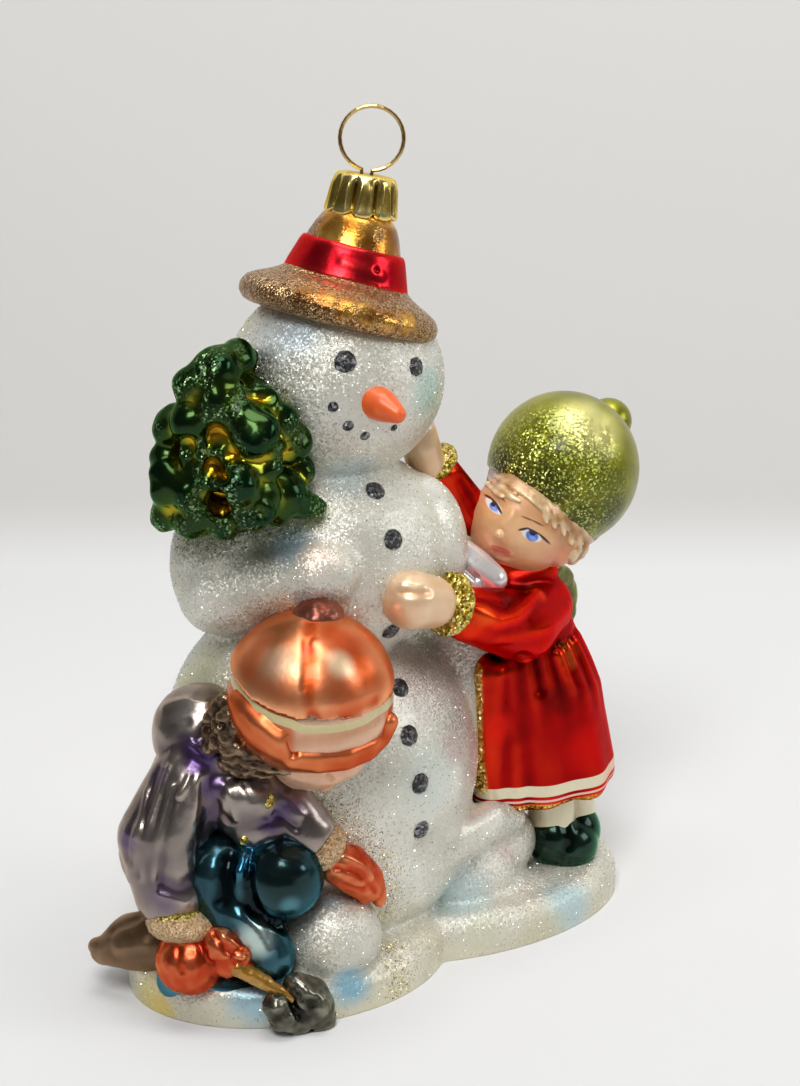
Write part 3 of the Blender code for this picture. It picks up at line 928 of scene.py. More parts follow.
def makeGirlHead():
    cap = girl["cap"]
    dome = ball(cap["centre"], cap["size"])
    applyPlace(dome)
    keepSide(dome, spot(*cap["rim"]), rimNormal)
    dome = fuse("girlCap", [dome, ball(*girl["nub"])], 0.5, 8)
    strokesSeen(dome, [([(552, 470), (565, 476)], 4.0, -0.35),
                       ([(604, 410), (600, 425), (603, 440)], 2.0, -0.4)])
    smoothShade(dome)
    relief(dome)
    brush = Brush("limeLacquer", 0.36, 0.85, 0.3, 0.2)
    level = brush.noise(60.0, 3.0)
    colour = brush.ramp(level, [(0.3, (0.10, 0.11, 0.005)), (0.5, (0.28, 0.28, 0.012)),
                                (0.7, (0.52, 0.48, 0.04))])
    surface = surfaceOf(dome)
    frost = brush.noise(700.0, 2.0) * 6.0
    # painted highlight: a pale yellow streak on the upper right; the near-black bands along the rim are
    # painted shade
    bright = brush.gap(touch(surface, 590, 424)[0]).step(8.5, 1.5)
    shade = (brush.gap(touch(surface, 548, 488)[0]) + frost * 0.5).step(7.5, 3.5)
    for pixel in [(516, 482), (580, 520), (500, 470), (612, 512)]:
        shade = shade.either((brush.gap(touch(surface, *pixel)[0]) + frost * 0.5).step(6.5, 3.5))
    colour = brush.mix((bright * 0.9).socket, colour, (1.0, 0.94, 0.36))
    # the lower front zone is glittered and painted darker as shade
    low = (brush.gap(touch(surface, 535, 492)[0]) + frost).step(22.0, 10.0)
    colour = brush.mix((low * 0.6).socket, colour, (0.14, 0.15, 0.01))
    colour = brush.mix((shade * 0.75).socket, colour, (0.03, 0.04, 0.003))
    tones = brush.facets(3400.0, 1.0, low)
    spark = tones[0].step(0.72, 0.9)
    brush.set("Base Color", brush.mix((spark * low).socket, colour, (0.55, 0.62, 0.16)))
    coat(dome, brush, "lime_lacquer")

    head = formed(girl["head"])
    smoothShade(head)
    paintGirlFace(head)

    surface = surfaceOf(head)
    parts = []
    for rows in girl["strands"]:
        parts += limb(laid(surface, rows, 0.55))
    for row in girl["curls"]:
        station = laid(surface, [row], 0.8)[0]
        parts.append(ball(station[:3], (station[3],) * 3))
    rim = spot(*cap["rim"])
    for place, size in [((44.6, -2.9, 75.2), (11.9, 11.3, 11.5)), ((36.1, -5.2, 71.2), (9.9, 8.8, 9.3))]:
        base = ball(place, size)
        applyPlace(base)
        keepSide(base, rim - Vector(rimNormal) * 0.9, rimNormal)
        keepSide(base, rim + Vector(rimNormal) * 1.2, -Vector(rimNormal))
        parts.append(base)
    nape = ball(*girl["nape"])
    applyPlace(nape)
    keepSide(nape, (46.5, -2.0, 75), (0.45, 0.85, -0.25))
    hair = fuse("girlHair", parts + [nape], 0.29, 1)
    smoothShade(hair)
    relief(hair, 16, 0.3)
    brush = Brush("hairPaint", 0.35, 0.2, 0.5, 0.12)
    # strands lighter on their ridges and darker in their grooves, as painted highlight and painted shade
    # over the hair's brown
    rise = brush.share("relief")
    level = (rise + (brush.noise(500.0, 2.0) - 0.5) * 0.4).clamp()
    brush.set("Base Color", brush.ramp(level, [(0.25, (0.15, 0.045, 0.01)), (0.52, (0.44, 0.21, 0.07)),
                                               (0.78, (0.82, 0.64, 0.38))]))
    coat(hair, brush, "hair_paint")


eyes = [
    # white, iris and pupil as pixel, turn in the picture, half sizes in millimetres
    {"white": ((493.8, 506), 48, (1.9, 0.8)), "iris": ((493.8, 506.8), 48, (0.85, 0.62)),
     "pupil": ((493.2, 504.2), 48, (0.42, 0.36)),
     "lid": [(485.3, 494.8), (491.7, 498.8), (497.3, 505.2), (501.3, 513.2)],
     "brow": [(491.7, 486.1), (498.1, 491.6), (504.5, 501.2)]},
    {"white": ((531.4, 534.8), 28, (1.9, 0.95)), "iris": ((532.0, 535.8), 28, (1.1, 0.9)),
     "pupil": ((532.6, 532.8), 28, (0.6, 0.42)),
     "lid": [(519.3, 529.9), (527.6, 528.3), (538.8, 533.9), (549.9, 543.5)],
     "brow": [(522, 516.4), (532.4, 520.4), (543.5, 525.9)]},
]


def pictureAxes(turn):
    # directions along and across a line that runs down to the right by turn degrees in the picture
    right, up, back = cameraAxes()
    a = math.radians(turn)
    return right * math.cos(a) - up * math.sin(a), right * math.sin(a) + up * math.cos(a), back


def paintGirlFace(head):
    surface = surfaceOf(head)
    brush = Brush("facePaint", 0.4, 0.12, 0.2, 0.15)
    colour = brush.ramp(brush.noise(110.0, 2.0), [(0.3, (0.66, 0.33, 0.13)), (0.7, (0.84, 0.51, 0.27))])

    def patch(colour, pixel, turn, radii, tint, strength=1.0, soft=0.12):
        centre = touch(surface, *pixel)[0]
        reach = brush.oval(centre, pictureAxes(turn), (*radii, 5.0))
        mask = reach.step(1.0 + soft, 1.0 - soft) * strength
        return brush.mix(mask.socket, colour, tint)

    def line(colour, pixels, width, tint, strength=1.0):
        for start, end in zip(pixels, pixels[1:]):
            run = (end[0] - start[0], end[1] - start[1])
            turn = math.degrees(math.atan2(run[1], run[0]))
            middle = ((start[0] + end[0]) / 2, (start[1] + end[1]) / 2)
            half = math.hypot(*run) * 0.165 / 2 + width
            colour = patch(colour, middle, turn, (half, width), tint, strength, 0.3)
        return colour

    # painted shade on the skin along the edge of the hair and cap
    for pixel in [(482, 480), (500, 492), (520, 506), (545, 516), (560, 530), (568, 550)]:
        colour = patch(colour, pixel, 40, (2.6, 1.5), (0.42, 0.16, 0.05), 0.6, 0.7)
    rose = (0.80, 0.26, 0.16)
    colour = patch(colour, (556, 560), 20, (3.6, 2.2), rose, 0.65, 0.8)
    colour = patch(colour, (482, 541), 60, (2.6, 1.6), rose, 0.45, 0.8)
    # painted shade under the nose
    colour = patch(colour, (497, 541), 30, (1.4, 0.5), (0.62, 0.28, 0.14), 0.5, 0.6)
    colour = patch(colour, (502, 560), 20, (3.2, 1.4), (0.84, 0.40, 0.24), 0.5, 0.8)
    colour = line(colour, [(491, 546.5), (500, 548.6), (509, 553)], 0.38, (0.70, 0.14, 0.09))
    colour = line(colour, [(495, 552), (502, 555), (507, 555.5)], 0.36, (0.78, 0.24, 0.15))
    colour = line(colour, [(492, 548.4), (500, 551.8), (508, 552.6)], 0.09, (0.45, 0.08, 0.05), 0.35)
    for eye in eyes:
        colour = patch(colour, *eye["white"], (0.82, 0.80, 0.80))
        colour = patch(colour, *eye["iris"], (0.10, 0.20, 0.62))
        low = (eye["iris"][0][0] + 0.8, eye["iris"][0][1] + 2.6)
        colour = patch(colour, low, eye["iris"][1], (0.6, 0.35), (0.28, 0.42, 0.85), 0.8, 0.4)
        colour = patch(colour, *eye["pupil"], (0.01, 0.01, 0.03))
        colour = line(colour, eye["lid"], 0.22, (0.07, 0.02, 0.015))
        colour = line(colour, eye["brow"], 0.17, (0.22, 0.08, 0.03), 0.9)
    brush.set("Base Color", colour)
    brush.bump(brush.noise(600.0, 2.0), 0.12, 0.15)
    coat(head, brush, "skin_paint")


makeGirlHead()
print("standing child's head")

dress = {
    "profile": [(0, 20.0), (12.0, 20.1), (13.1, 20.5), (13.4, 21.6), (13.3, 24), (12.8, 31), (12.2, 39.7),
                (11.2, 43.8), (10.0, 47.7), (9.0, 50.9), (8.2, 54), (6.8, 58), (4, 61), (0, 62)],
    "place": (43.5, -3, 0), "oval": 0.76, "hem": 20.0,
    "sides": [[(489, 672, -5.4, 3.3), (489, 724, -5.6, 3.4), (491, 764, -5.8, 3.4), (495, 802, -6.0, 3.4)],
              [(512, 668, -6.4, 3.2), (512, 724, -6.8, 3.2), (512, 764, -7.2, 3.2), (512, 806, -7.4, 3.2)]],
    # how far the axis leans to the snowman, by height
    "lean": ([24, 31, 40, 51, 60], [0, 1.0, 2.35, 4.6, 5.4]),
    # dark red patches are painted shade and orange-red patches painted highlights
    "tints": [((560, 700), 4.5, (0.12, 0.0, 0.0), 0.7), ((520, 735), 3.0, (0.20, 0.0, 0.0), 0.5),
              ((498, 730), 4.0, (0.80, 0.015, 0.005), 0.6), ((585, 750), 6.0, (0.74, 0.006, 0.004), 0.6),
              ((500, 592), 4.0, (0.10, 0.0, 0.0), 0.7), ((540, 592), 3.0, (0.92, 0.13, 0.02), 0.7),
              ((487, 615), 3.0, (0.92, 0.11, 0.015), 0.6), ((470, 500), 4.0, (0.24, 0.0, 0.0), 0.6),
              ((570, 655), 3.5, (0.92, 0.16, 0.03), 0.5)],
}


def makeDress():
    skirt = turned("skirt", dress["profile"], dress["place"], 0, 96, dress["oval"])
    places = points(skirt)
    places[:, 0] -= np.interp(places[:, 2] / mm, *dress["lean"]) * mm
    setPoints(skirt, places)
    parts = [skirt]
    for rows in dress["sides"]:
        parts += limb(spots(rows))
    parts += limb([(38.6, -6.4, 55.8, 6.2), (31.5, -11.5, 55.0, 6.3), (17, -16.5, 61, 4.6)])
    parts += limb([(40, 2, 60, 6), (27.5, 0.5, 73, 4.6), (22.5, 0, 80.5, 3.6)])
    parts += limb([(37.5, -5, 62, 5.3), (30, -7, 62, 4)])
    piece = fuse("dress", parts, 0.48, 8)
    keepSide(piece, (0, 0, dress["hem"] + 0.25), (0, 0, 1))
    places = points(piece)
    middle = np.array(dress["place"]) * mm
    low = places[:, 2] < 50 * mm
    centre = middle[0] - np.interp(places[:, 2] / mm, *dress["lean"]) * mm
    angle = np.arctan2(places[:, 1] - middle[1], places[:, 0] - centre)
    rise = places[:, 2] / mm
    gather = 0.28 * np.cos(angle * 17) * np.clip((rise - 34) / 12, 0, 1)
    fold = 0.55 * np.cos(angle * 6 + 0.6) * np.clip((42 - rise) / 22, 0, 1)
    places += outward(piece) * ((gather + fold) * low * mm)[:, None]
    setPoints(piece, places)
    strokesSeen(piece, [
        ([(464, 606), (497, 622), (515, 617), (537, 593)], 1.8, 0.8),
        ([(480, 598), (505, 606), (525, 592)], 1.6, -0.5),
        ([(500, 640), (540, 632), (568, 610)], 1.8, 0.3),
        ([(475, 652), (520, 655), (560, 645), (578, 630)], 1.5, -0.5),
        ([(560, 655), (572, 690)], 2.0, 0.5), ([(535, 660), (540, 690)], 1.6, -0.3),
        ([(460, 480), (475, 510)], 1.6, -0.4),
    ])
    smoothShade(piece)
    relief(piece, 30, 0.35)
    gapShare(piece, "side", [[(474, 672), (474, 700), (475, 740), (479, 786)]])
    brush = lacquer("dressLacquer", (0.05, 0.0, 0.0), (0.40, 0.002, 0.002), (0.85, 0.035, 0.006), 0.3, 0.97,
                    60.0, 0.08)
    height = brush.height()
    surface = surfaceOf(piece)
    # painted shade and painted highlights from the tints
    colour = tinted(brush, surface, brush.colour, dress["tints"])
    hem = dress["hem"]
    for low, high, tint in [(1.6, 2.0, (0.80, 0.58, 0.50)), (2.6, 4.6, (0.80, 0.74, 0.54))]:
        mask = height.step(hem + low - 0.06, hem + low + 0.06) * height.step(hem + high + 0.06,
                                                                             hem + high - 0.06)
        colour = brush.mix(mask.socket, colour, tint)
        paint = mask if low < 2 else paint.either(mask)
    gold = (brush.share("side") + (brush.noise(500.0, 2.0) - 0.5) * 0.8).step(1.9, 1.2)
    gold = gold.either(height.step(hem + 1.25, hem + 1.0) * 0.9)
    tones = brush.facets(2400.0, 1.1, gold)
    sparks = brush.ramp(tones[0], [(0.0, (0.25, 0.12, 0.0)), (0.5, (0.66, 0.42, 0.05)),
                                   (1.0, (1.0, 0.82, 0.36))])
    colour = brush.mix((gold * 0.85).socket, colour, sparks)
    brush.set("Metallic", 0.97 - paint * 0.6)
    brush.set("Base Color", colour)
    coat(piece, brush, "red_lacquer")
    return piece


dressPiece = makeDress()
print("dress", len(dressPiece.data.polygons))


trims = {
    "goldCuffs": {"name": "goldCuffs", "grid": 0.3, "soft": 3,
                  "balls": [(spot(449, 604, -16.2), (1.35, 5.1, 5.5), (0, 21, 19)),
                            (spot(434, 463, 0.0), (1.7, 4.4, 4.4), (0, 52, 8))]},
    "hands": {"name": "hands", "grid": 0.3, "soft": 10,
              "lumps": [(406, 592, -18.4, 3.4)],
              "runs": [[(411, 600, -18.2, 4.9), (430, 602, -17.4, 4.4)],
                       [(426, 464, -0.6, 3.4), (421, 446, -1.2, 3.3), (420, 430, -1.4, 2.7)]],
              "strokes": [([(400, 592), (414, 594), (430, 593)], 1.0, -0.2),
                          ([(402, 584), (424, 586)], 1.2, 0.15)]},
    "collar": {"name": "collar", "grid": 0.3, "soft": 4,
               "runs": [[(458, 552, -6, 2.8), (472, 567, -7.5, 3.5), (493, 579, -10.5, 2.5)],
                        [(456, 572, -8, 2.4), (472, 584, -9, 2.6)]],
               "strokes": [([(462, 565), (476, 578)], 1.0, -0.5)]},
    "hood": {"name": "hood", "grid": 0.32, "soft": 4,
             "runs": [[(553, 569, -5, 1.6), (562, 577, -3, 2.0), (566, 594, -1, 2.1), (565, 612, 0, 2.0),
                       (560, 632, 0, 1.6)]],
             "balls": [((46.4, 4.0, 62), (4.8, 4.8, 8.5))]},
    "stockings": {"name": "stockings", "grid": 0.35, "soft": 3,
                  "limbs": [[(43.6, -4.4, 23, 4.2), (43.6, -5, 13, 4.4)],
                            [(49.0, -3, 23, 4.3), (48.6, -3.8, 12, 4.6)]]},
    "shoes": {"name": "shoes", "grid": 0.35, "soft": 4,
              "balls": [((43.6, -5.4, 11.2), (5.1, 5.3, 5.4)), ((48.6, -4.2, 11.0), (5.2, 5.6, 5.5)),
                        ((46.2, -6.6, 9.6), (5.6, 5.0, 5.0))],
              "strokes": [([(566, 826), (568, 846)], 1.8, -0.4)]},
}


def makeTrims():
    cuffs = formed(trims["goldCuffs"])
    clouds(cuffs, 1.0, 0.5)
    smoothShade(cuffs)
    coat(cuffs, glitter("goldGlitter", *goldGrains, 2200.0),
         "gold_glitter")

    hands = formed(trims["hands"])
    relief(hands)
    brush = Brush("handPearl", 0.34, 0.4, 0.2, 0.15)
    # darker in the hollows and paler on the ridges, as painted shade and painted highlight
    rise = brush.share("relief")
    level = (rise + (brush.noise(130.0, 2.0) - 0.5) * 0.7).clamp()
    brush.set("Base Color", brush.ramp(level, [(0.1, (0.66, 0.32, 0.14)), (0.5, (0.80, 0.50, 0.28)),
                                               (0.9, (0.90, 0.70, 0.48))]))
    coat(hands, brush, "skin_paint")

    makePlain(trims["collar"], None, (), "cream_paint", "collarPearl", (0.36, 0.32, 0.32),
              (0.70, 0.66, 0.65), (0.92, 0.90, 0.88), 0.25, 0.5)

    makePlain(trims["hood"], (4.0, 0.8), (), "lime_lacquer", "hoodLacquer", (0.012, 0.015, 0.003),
              (0.045, 0.05, 0.012), (0.15, 0.145, 0.05), 0.3)

    makePlain(trims["stockings"], None, (), "cream_paint", "stockingCream", (0.45, 0.36, 0.20),
              (0.72, 0.66, 0.46), (0.90, 0.86, 0.68), 0.34, 0.4)

    makePlain(trims["shoes"], None, (), "fir_lacquer", "shoeLacquer", (0.0, 0.004, 0.003),
              (0.002, 0.010, 0.006), (0.028, 0.07, 0.045), 0.2, 0.9, 90.0, 0.3)


makeTrims()
print("trims")


# Kneeling child

boy = {
    "dome": {"place": (-14.8, -18.7, 55.4), "size": (13.8, 13.2, 12.4),
             "rim": [(229, 664), (309, 722), (393, 693)]},
    "under": {"name": "boyBand", "grid": 0.42, "soft": 2,
              "balls": [((-14.8, -18.7, 53.0), (13.6, 13.0, 11.2)), ((-13.6, -18.4, 46.6), (9, 8, 4))],
              "strokes": [([(262, 722), (295, 741), (345, 735), (380, 717)], 2.4, -0.5)]},
    # folds of the brim as pixel and radius, laid on the band
    "folds": [[(294, 760, 2.1), (318, 763, 2.6), (346, 760, 2.8), (368, 751, 2.7), (383, 738, 2.3),
               (389, 722, 1.7)],
              [(234, 700, 2.0), (241, 716, 3.8), (254, 733, 4.6), (272, 748, 4.2), (287, 756, 2.8)]],
    "creases": [([(290, 742), (294, 754)], 1.0, -0.6), ([(300, 757), (346, 756), (378, 742)], 1.4, 0.2),
                ([(238, 700), (256, 724), (280, 744)], 1.6, 0.2)],
    "nub": ((-12.8, -18.3, 66.9), (4.3, 4.0, 2.5)),
    # painted highlights in the pale orange patches, painted shade in the dark red one at the groove
    "domeHighlightsAndShade": [((278, 662), 4.2, (0.98, 0.66, 0.42), 0.75), ((341, 664), 3.4, (1.0, 0.78, 0.50), 0.85),
                  ((309, 650), 1.6, (0.60, 0.05, 0.02), 0.7), ((350, 700), 4.5, (0.66, 0.12, 0.03), 0.6)],
    # the pale patch on the lower leg at (256, 940) is a painted highlight
    "trouserTintsAndHighlight": [((252, 850), 3.2, (0.04, 0.28, 0.50), 0.8), ((240, 866), 2.4, (0.03, 0.22, 0.42), 0.7),
                     ((256, 940), 4.4, (0.60, 0.72, 0.66), 0.85),
                     ((284, 880), 9.0, (0.012, 0.026, 0.022), 0.9),
                     ((290, 906), 2.4, (0.12, 0.32, 0.38), 0.6), ((190, 985), 7.0, (0.10, 0.34, 0.46),
                                                                  0.75)],
    # dark purple patches in the creases are the lacquer's purple and painted shade; the pale taupe patches
    # are painted highlights
    "jacketShadeAndHighlights": [((200, 760), 4.0, (0.055, 0.02, 0.13), 0.85),
                    ((214, 748), 2.6, (0.04, 0.012, 0.09), 0.85),
                    ((190, 742), 2.4, (0.10, 0.05, 0.18), 0.7), ((206, 870), 3.0, (0.07, 0.03, 0.15), 0.8),
                    ((165, 900), 4.0, (0.13, 0.08, 0.18), 0.6), ((160, 775), 3.4, (0.10, 0.06, 0.17), 0.6),
                    ((126, 840), 3.6, (0.09, 0.05, 0.16), 0.7), ((184, 715), 3.0, (0.50, 0.46, 0.42), 0.7),
                    ((176, 830), 5.0, (0.30, 0.26, 0.23), 0.6), ((240, 800), 4.0, (0.38, 0.34, 0.30), 0.6),
                    ((292, 806), 3.4, (0.10, 0.05, 0.17), 0.6), ((188, 880), 2.2, (0.06, 0.04, 0.06), 0.6),
                    ((212, 785), 3.0, (0.08, 0.035, 0.16), 0.7), ((270, 825), 2.6, (0.07, 0.03, 0.14),
                                                                  0.7)],
    "dabs": [(271, 799, 1.0), (270, 803, 0.8), (245, 840, 0.8), (243, 843, 0.6), (268, 806, 0.6)],
    "hair": {"name": "boyHair", "grid": 0.26, "soft": 1,
             "lumps": [(226, 700, -13.5, 1.5), (219, 709, -12.5, 1.7), (227, 716, -15.5, 1.7),
                       (214, 719, -11.5, 1.7),
                       (222, 727, -14.5, 1.8), (212, 733, -11.5, 1.8), (229, 737, -16.5, 1.7), (219, 742,
                                                                                                -14, 1.8),
                       (210, 747, -12, 1.5), (228, 750, -16.5, 1.6), (236, 726, -17, 1.6)],
             "runs": [[(228, 755, -15.5, 1.5), (248, 760, -18, 1.5), (268, 766, -20, 1.2),
                       (292, 771, -22, 0.7)],
                      [(226, 764, -14, 1.3), (246, 771, -16.5, 1.3), (268, 776, -18.5, 0.8)],
                      [(236, 748, -17.5, 1.5), (256, 754, -19.5, 1.3), (276, 762, -21, 0.9)]]},
    "face": {"name": "boyFace", "grid": 0.28, "soft": 4,
             "balls": [((-14.4, -19.6, 43.8), (7.0, 6.4, 5.2)), ((-11.6, -21, 44.4), (5.6, 5.2, 4.6))],
             "lumps": [(340, 773, -23.0, 1.2), (324, 782, -22.5, 1.6)],
             "strokes": [([(328, 775), (332, 781)], 0.8, -0.4), ([(262, 785), (290, 791)], 2.0, 0.3)]},
    "jacket": {"name": "jacket", "grid": 0.41, "soft": 4,
               "balls": [((-25.9, -3.2, 45.2), (8.2, 8.0, 8.0)), ((-21, -11, 36), (8.4, 7.8, 8.2)),
                         ((-21, -14, 32), (6, 5, 5))],
               "limbs": [[(-23.5, -4, 43, 8), (-27.5, -1, 32, 8.4), (-30.5, 3, 22.5, 7.2)],
                         [(-28, -7, 41, 6.8), (-35.0, -6, 30, 7.3), (-34.2, -8, 21, 6.4)],
                         [(-18, -14, 36, 5), (-14.8, -18, 30, 4.6)]],
               "strokes": [
                   ([(158, 770), (140, 812), (128, 860)], 1.8, -0.5), ([(150, 782), (134, 836), (130, 880)],
                                                                       1, 0.32),
                   ([(168, 768), (150, 820), (142, 880)], 1, 0.32), ([(164, 770), (146, 822), (138, 876)],
                                                                     0.8, -0.32),
                   ([(207, 790), (206, 830), (204, 868)], 2.6, -0.9), ([(184, 756), (214, 770)], 3.2, -0.9),
                   ([(184, 762), (200, 768)], 0.8, 0.53), ([(188, 750), (204, 760)], 0.7, 0.53),
                   ([(192, 742), (210, 752)], 0.7, 0.48), ([(196, 772), (208, 778)], 0.7, 0.42),
                   ([(190, 776), (186, 786), (180, 796)], 0.8, 0.42), ([(198, 780), (196, 800), (194, 820)],
                                                                       0.9, 0.32),
                   ([(180, 790), (176, 830), (180, 872)], 3.4, 0.35), ([(166, 884), (184, 888), (196, 880)],
                                                                       2.6, -0.4),
                   ([(214, 778), (240, 776), (262, 784)], 1.8, -0.4), ([(222, 796), (246, 800), (262, 806)],
                                                                       3.0, 0.3),
                   ([(214, 800), (228, 822)], 1.2, -0.26), ([(232, 790), (222, 812)], 1, 0.21),
                   ([(146, 790), (139, 830), (137, 872)], 0.9, 0.28),
                   ([(172, 786), (160, 830), (154, 880)], 0.9, 0.31), ([(176, 790), (166, 834), (160, 884)],
                                                                       0.8, -0.28),
                   ([(222, 780), (232, 798), (236, 820)], 0.9, 0.28), ([(244, 784), (252, 800)], 0.8,
                                                                       -0.25),
                   ([(166, 706), (186, 700), (204, 704)], 1.6, 0.4), ([(170, 726), (186, 722)], 1.2, -0.25),
                   ([(206, 728), (196, 745)], 1.6, -0.4), ([(286, 798), (300, 814)], 1.4, 0.37),
                   ([(276, 814), (296, 828)], 1.2, -0.37), ([(160, 896), (186, 902)], 1.2, 0.32)]},
    "cuffs": {"name": "tanCuffs", "grid": 0.3, "soft": 3,
              "balls": [(spot(185, 922, -11.0), (6.4, 6.2, 3.2), (-4, 6, 0)),
                        (spot(324, 848, -20.0), (2.6, 4.4, 4.4), (0, 42, -10))]},
    "gloves": {"name": "gloves", "grid": 0.32, "soft": 2,
               "lumps": [(190, 960, -13.2, 5.6), (222, 944, -18.0, 3.2), (236, 956, -19.6, 2.7),
                         (226, 962, -18.6, 2.6), (247, 968, -20.8, 1.5)],
               "runs": [[(336, 862, -21.2, 3.4), (352, 872, -21.6, 3.5), (367, 887, -21.4, 2.6)],
                        [(352, 860, -20.6, 2.6), (370, 876, -20.8, 2.2), (379, 900, -20.4, 1.2)]],
               "strokes": [([(214, 932), (226, 950), (240, 966)], 1.0, -0.5),
                           ([(222, 936), (238, 946)], 0.9, 0.35),
                           ([(226, 956), (244, 958)], 0.8, 0.35), ([(336, 868), (356, 872), (376, 892)],
                                                                   0.9, -0.4),
                           ([(344, 856), (360, 864), (372, 878)], 0.9, 0.4), ([(344, 884), (364, 890)], 0.9,
                                                                              -0.3),
                           ([(178, 950), (182, 972)], 1.0, -0.2), ([(196, 950), (196, 972)], 0.8, 0.15)]},
    "trousers": {"name": "trousers", "grid": 0.42, "soft": 3,
                 "balls": [((-20.4, -19.2, 24.2), (6.8, 6.5, 6.8))],
                 "limbs": [[(-29.5, -1.5, 21, 6.8), (-23, -16, 24, 6.6)],
                           [(-27.5, -11.5, 24, 6.6), (-26.2, -15.4, 17.6, 5.9), (-23.4, -18.8, 11, 4.7)],
                           [(-34, -8.5, 5.4, 3.7), (-28, -14.5, 5.4, 3.9), (-24.5, -17.5, 5.0, 3.0)]],
                 "strokes": [([(252, 846), (247, 866), (247, 890), (256, 912), (282, 926)], 1.8, -1.2),
                             ([(260, 836), (250, 850), (240, 872)], 1.6, 0.7), ([(228, 862), (222, 900)],
                                                                                2.4, -0.8),
                             ([(240, 918), (256, 934), (266, 952)], 2.2, 0.6), ([(282, 862), (300, 870)],
                                                                                2.4, 0.3)]},
    "boot": {"name": "boot", "grid": 0.34, "soft": 4,
             "limbs": [[(-41.0, 2.6, 8.0, 2.6), (-37.6, 0.2, 9.6, 4.8), (-34.4, -3, 10.4, 5.2)]],
             "lumps": [(106, 950, 4, 2.6), (97, 946, 4, 1.5)],
             "strokes": [([(112, 930), (136, 918)], 1.8, -0.5), ([(118, 950), (142, 945)], 2.2, 0.4)]},
    "handle": {"name": "shovelHandle", "grid": 0.24, "soft": 3,
               "runs": [[(236, 966, -20.5, 1.5), (262, 981, -23.0, 1.3), (292, 999, -25.8, 0.8)]]},
    "blade": {"name": "shovelBlade", "grid": 0.26, "soft": 3,
              "runs": [[(296, 984, -25.0, 2.0), (308, 1000, -25.6, 3.8), (318, 1016, -25.4, 3.0)],
                       [(276, 1006, -25.6, 2.2), (284, 1016, -25.6, 2.6), (300, 1020, -25.6, 2.4)]],
              "strokes": [([(290, 1000), (298, 1014)], 1.2, -0.5), ([(304, 990), (324, 1012)], 1.4, 0.4),
                          ([(312, 1004), (306, 1018)], 2.0, -0.5)]},
}


def planeThrough(surface, pixels):
    # place and normal of the plane through three seen points, its normal upwards
    a, b, c = seenPath(surface, pixels)
    normal = (b - a).cross(c - a).normalized()
    return b / mm, normal if normal.z > 0 else -normal


def makeBoyHat():
    spec = boy["dome"]
    whole = ball(spec["place"], spec["size"], rings=40)
    applyPlace(whole)
    place, normal = planeThrough(surfaceOf(whole), spec["rim"])
    keepSide(whole, place, normal)
    dome = fuse("boyDome", [whole], 0.44, 2)
    strokesSeen(dome, [([(309, 622), (309, 650), (310, 690), (311, 716)], 2.0, -0.28),
                       ([(306, 640), (303, 690)], 0.9, -0.12), ([(314, 640), (316, 700)], 0.8, 0.1),
                       ([(330, 630), (352, 645), (372, 680)], 5.0, -0.4), ([(262, 640), (246, 670)], 4.0,
                                                                           -0.3),
                       ([(314, 718), (345, 716), (378, 702)], 2.0, -0.4)])
    smoothShade(dome)
    relief(dome, 40, 0.25)
    brush = lacquer("copperLacquer", (0.30, 0.035, 0.008), (0.62, 0.10, 0.022), (0.95, 0.42, 0.20), 0.36,
                    0.92, 55.0, 0.25)
    # painted highlights and painted shade on the dome
    brush.set("Base Color", tinted(brush, surfaceOf(dome), brush.colour, boy["domeHighlightsAndShade"], 0.0, 0.2))
    coat(dome, brush, "copper_lacquer")

    band = formed(boy["under"])
    relief(band)
    gapShare(band, "line", [[(231, 672), (238, 688), (250, 704), (268, 716), (291, 724), (304, 730)],
                            [(304, 730), (322, 730), (346, 727), (368, 719), (386, 706), (394, 695)]])
    brush = lacquer("bandPeach", (0.42, 0.16, 0.06), (0.66, 0.36, 0.22), (0.85, 0.62, 0.44), 0.28, 0.8)
    mask = brush.share("line").step(0.85, 0.65)
    surface = surfaceOf(band)
    left = brush.gap(touch(surface, 346, 735)[0]).step(7.5, 9.0)
    copper = brush.ramp(brush.share("relief"), [(0.2, (0.34, 0.05, 0.012)), (0.8, (0.72, 0.20, 0.07))])
    colour = brush.mix(left.socket, brush.colour, copper)
    brush.set("Base Color", brush.mix(mask.socket, colour, (0.66, 0.57, 0.30)))
    brush.set("Metallic", mask.step(1.0, 0.0) * 0.8)
    coat(band, brush, "cream_paint")

    parts = []
    for rows, rise in zip(boy["folds"], (1.5, 0.9)):
        parts += limb(laid(surface, rows, rise))
    roll = fuse("boyBrim", parts, 0.3, 6)
    strokesSeen(roll, boy["creases"])
    smoothShade(roll)
    relief(roll, 24, 0.3)
    coat(roll, lacquer("brimLacquer", (0.26, 0.03, 0.006), (0.55, 0.085, 0.018), (0.85, 0.28, 0.11), 0.36,
                       0.9, 70.0, 0.15),
         "copper_lacquer")

    nub = fuse("boyNub", [ball(*boy["nub"])], 0.25, 2)
    clouds(nub, 2.4, 0.6)
    smoothShade(nub)
    relief(nub)
    coat(nub, lacquer("nubLacquer", (0.09, 0.02, 0.012), (0.22, 0.06, 0.04), (0.40, 0.17, 0.11), 0.34, 0.8,
                      90.0, 0.2),
         "brown_lacquer")


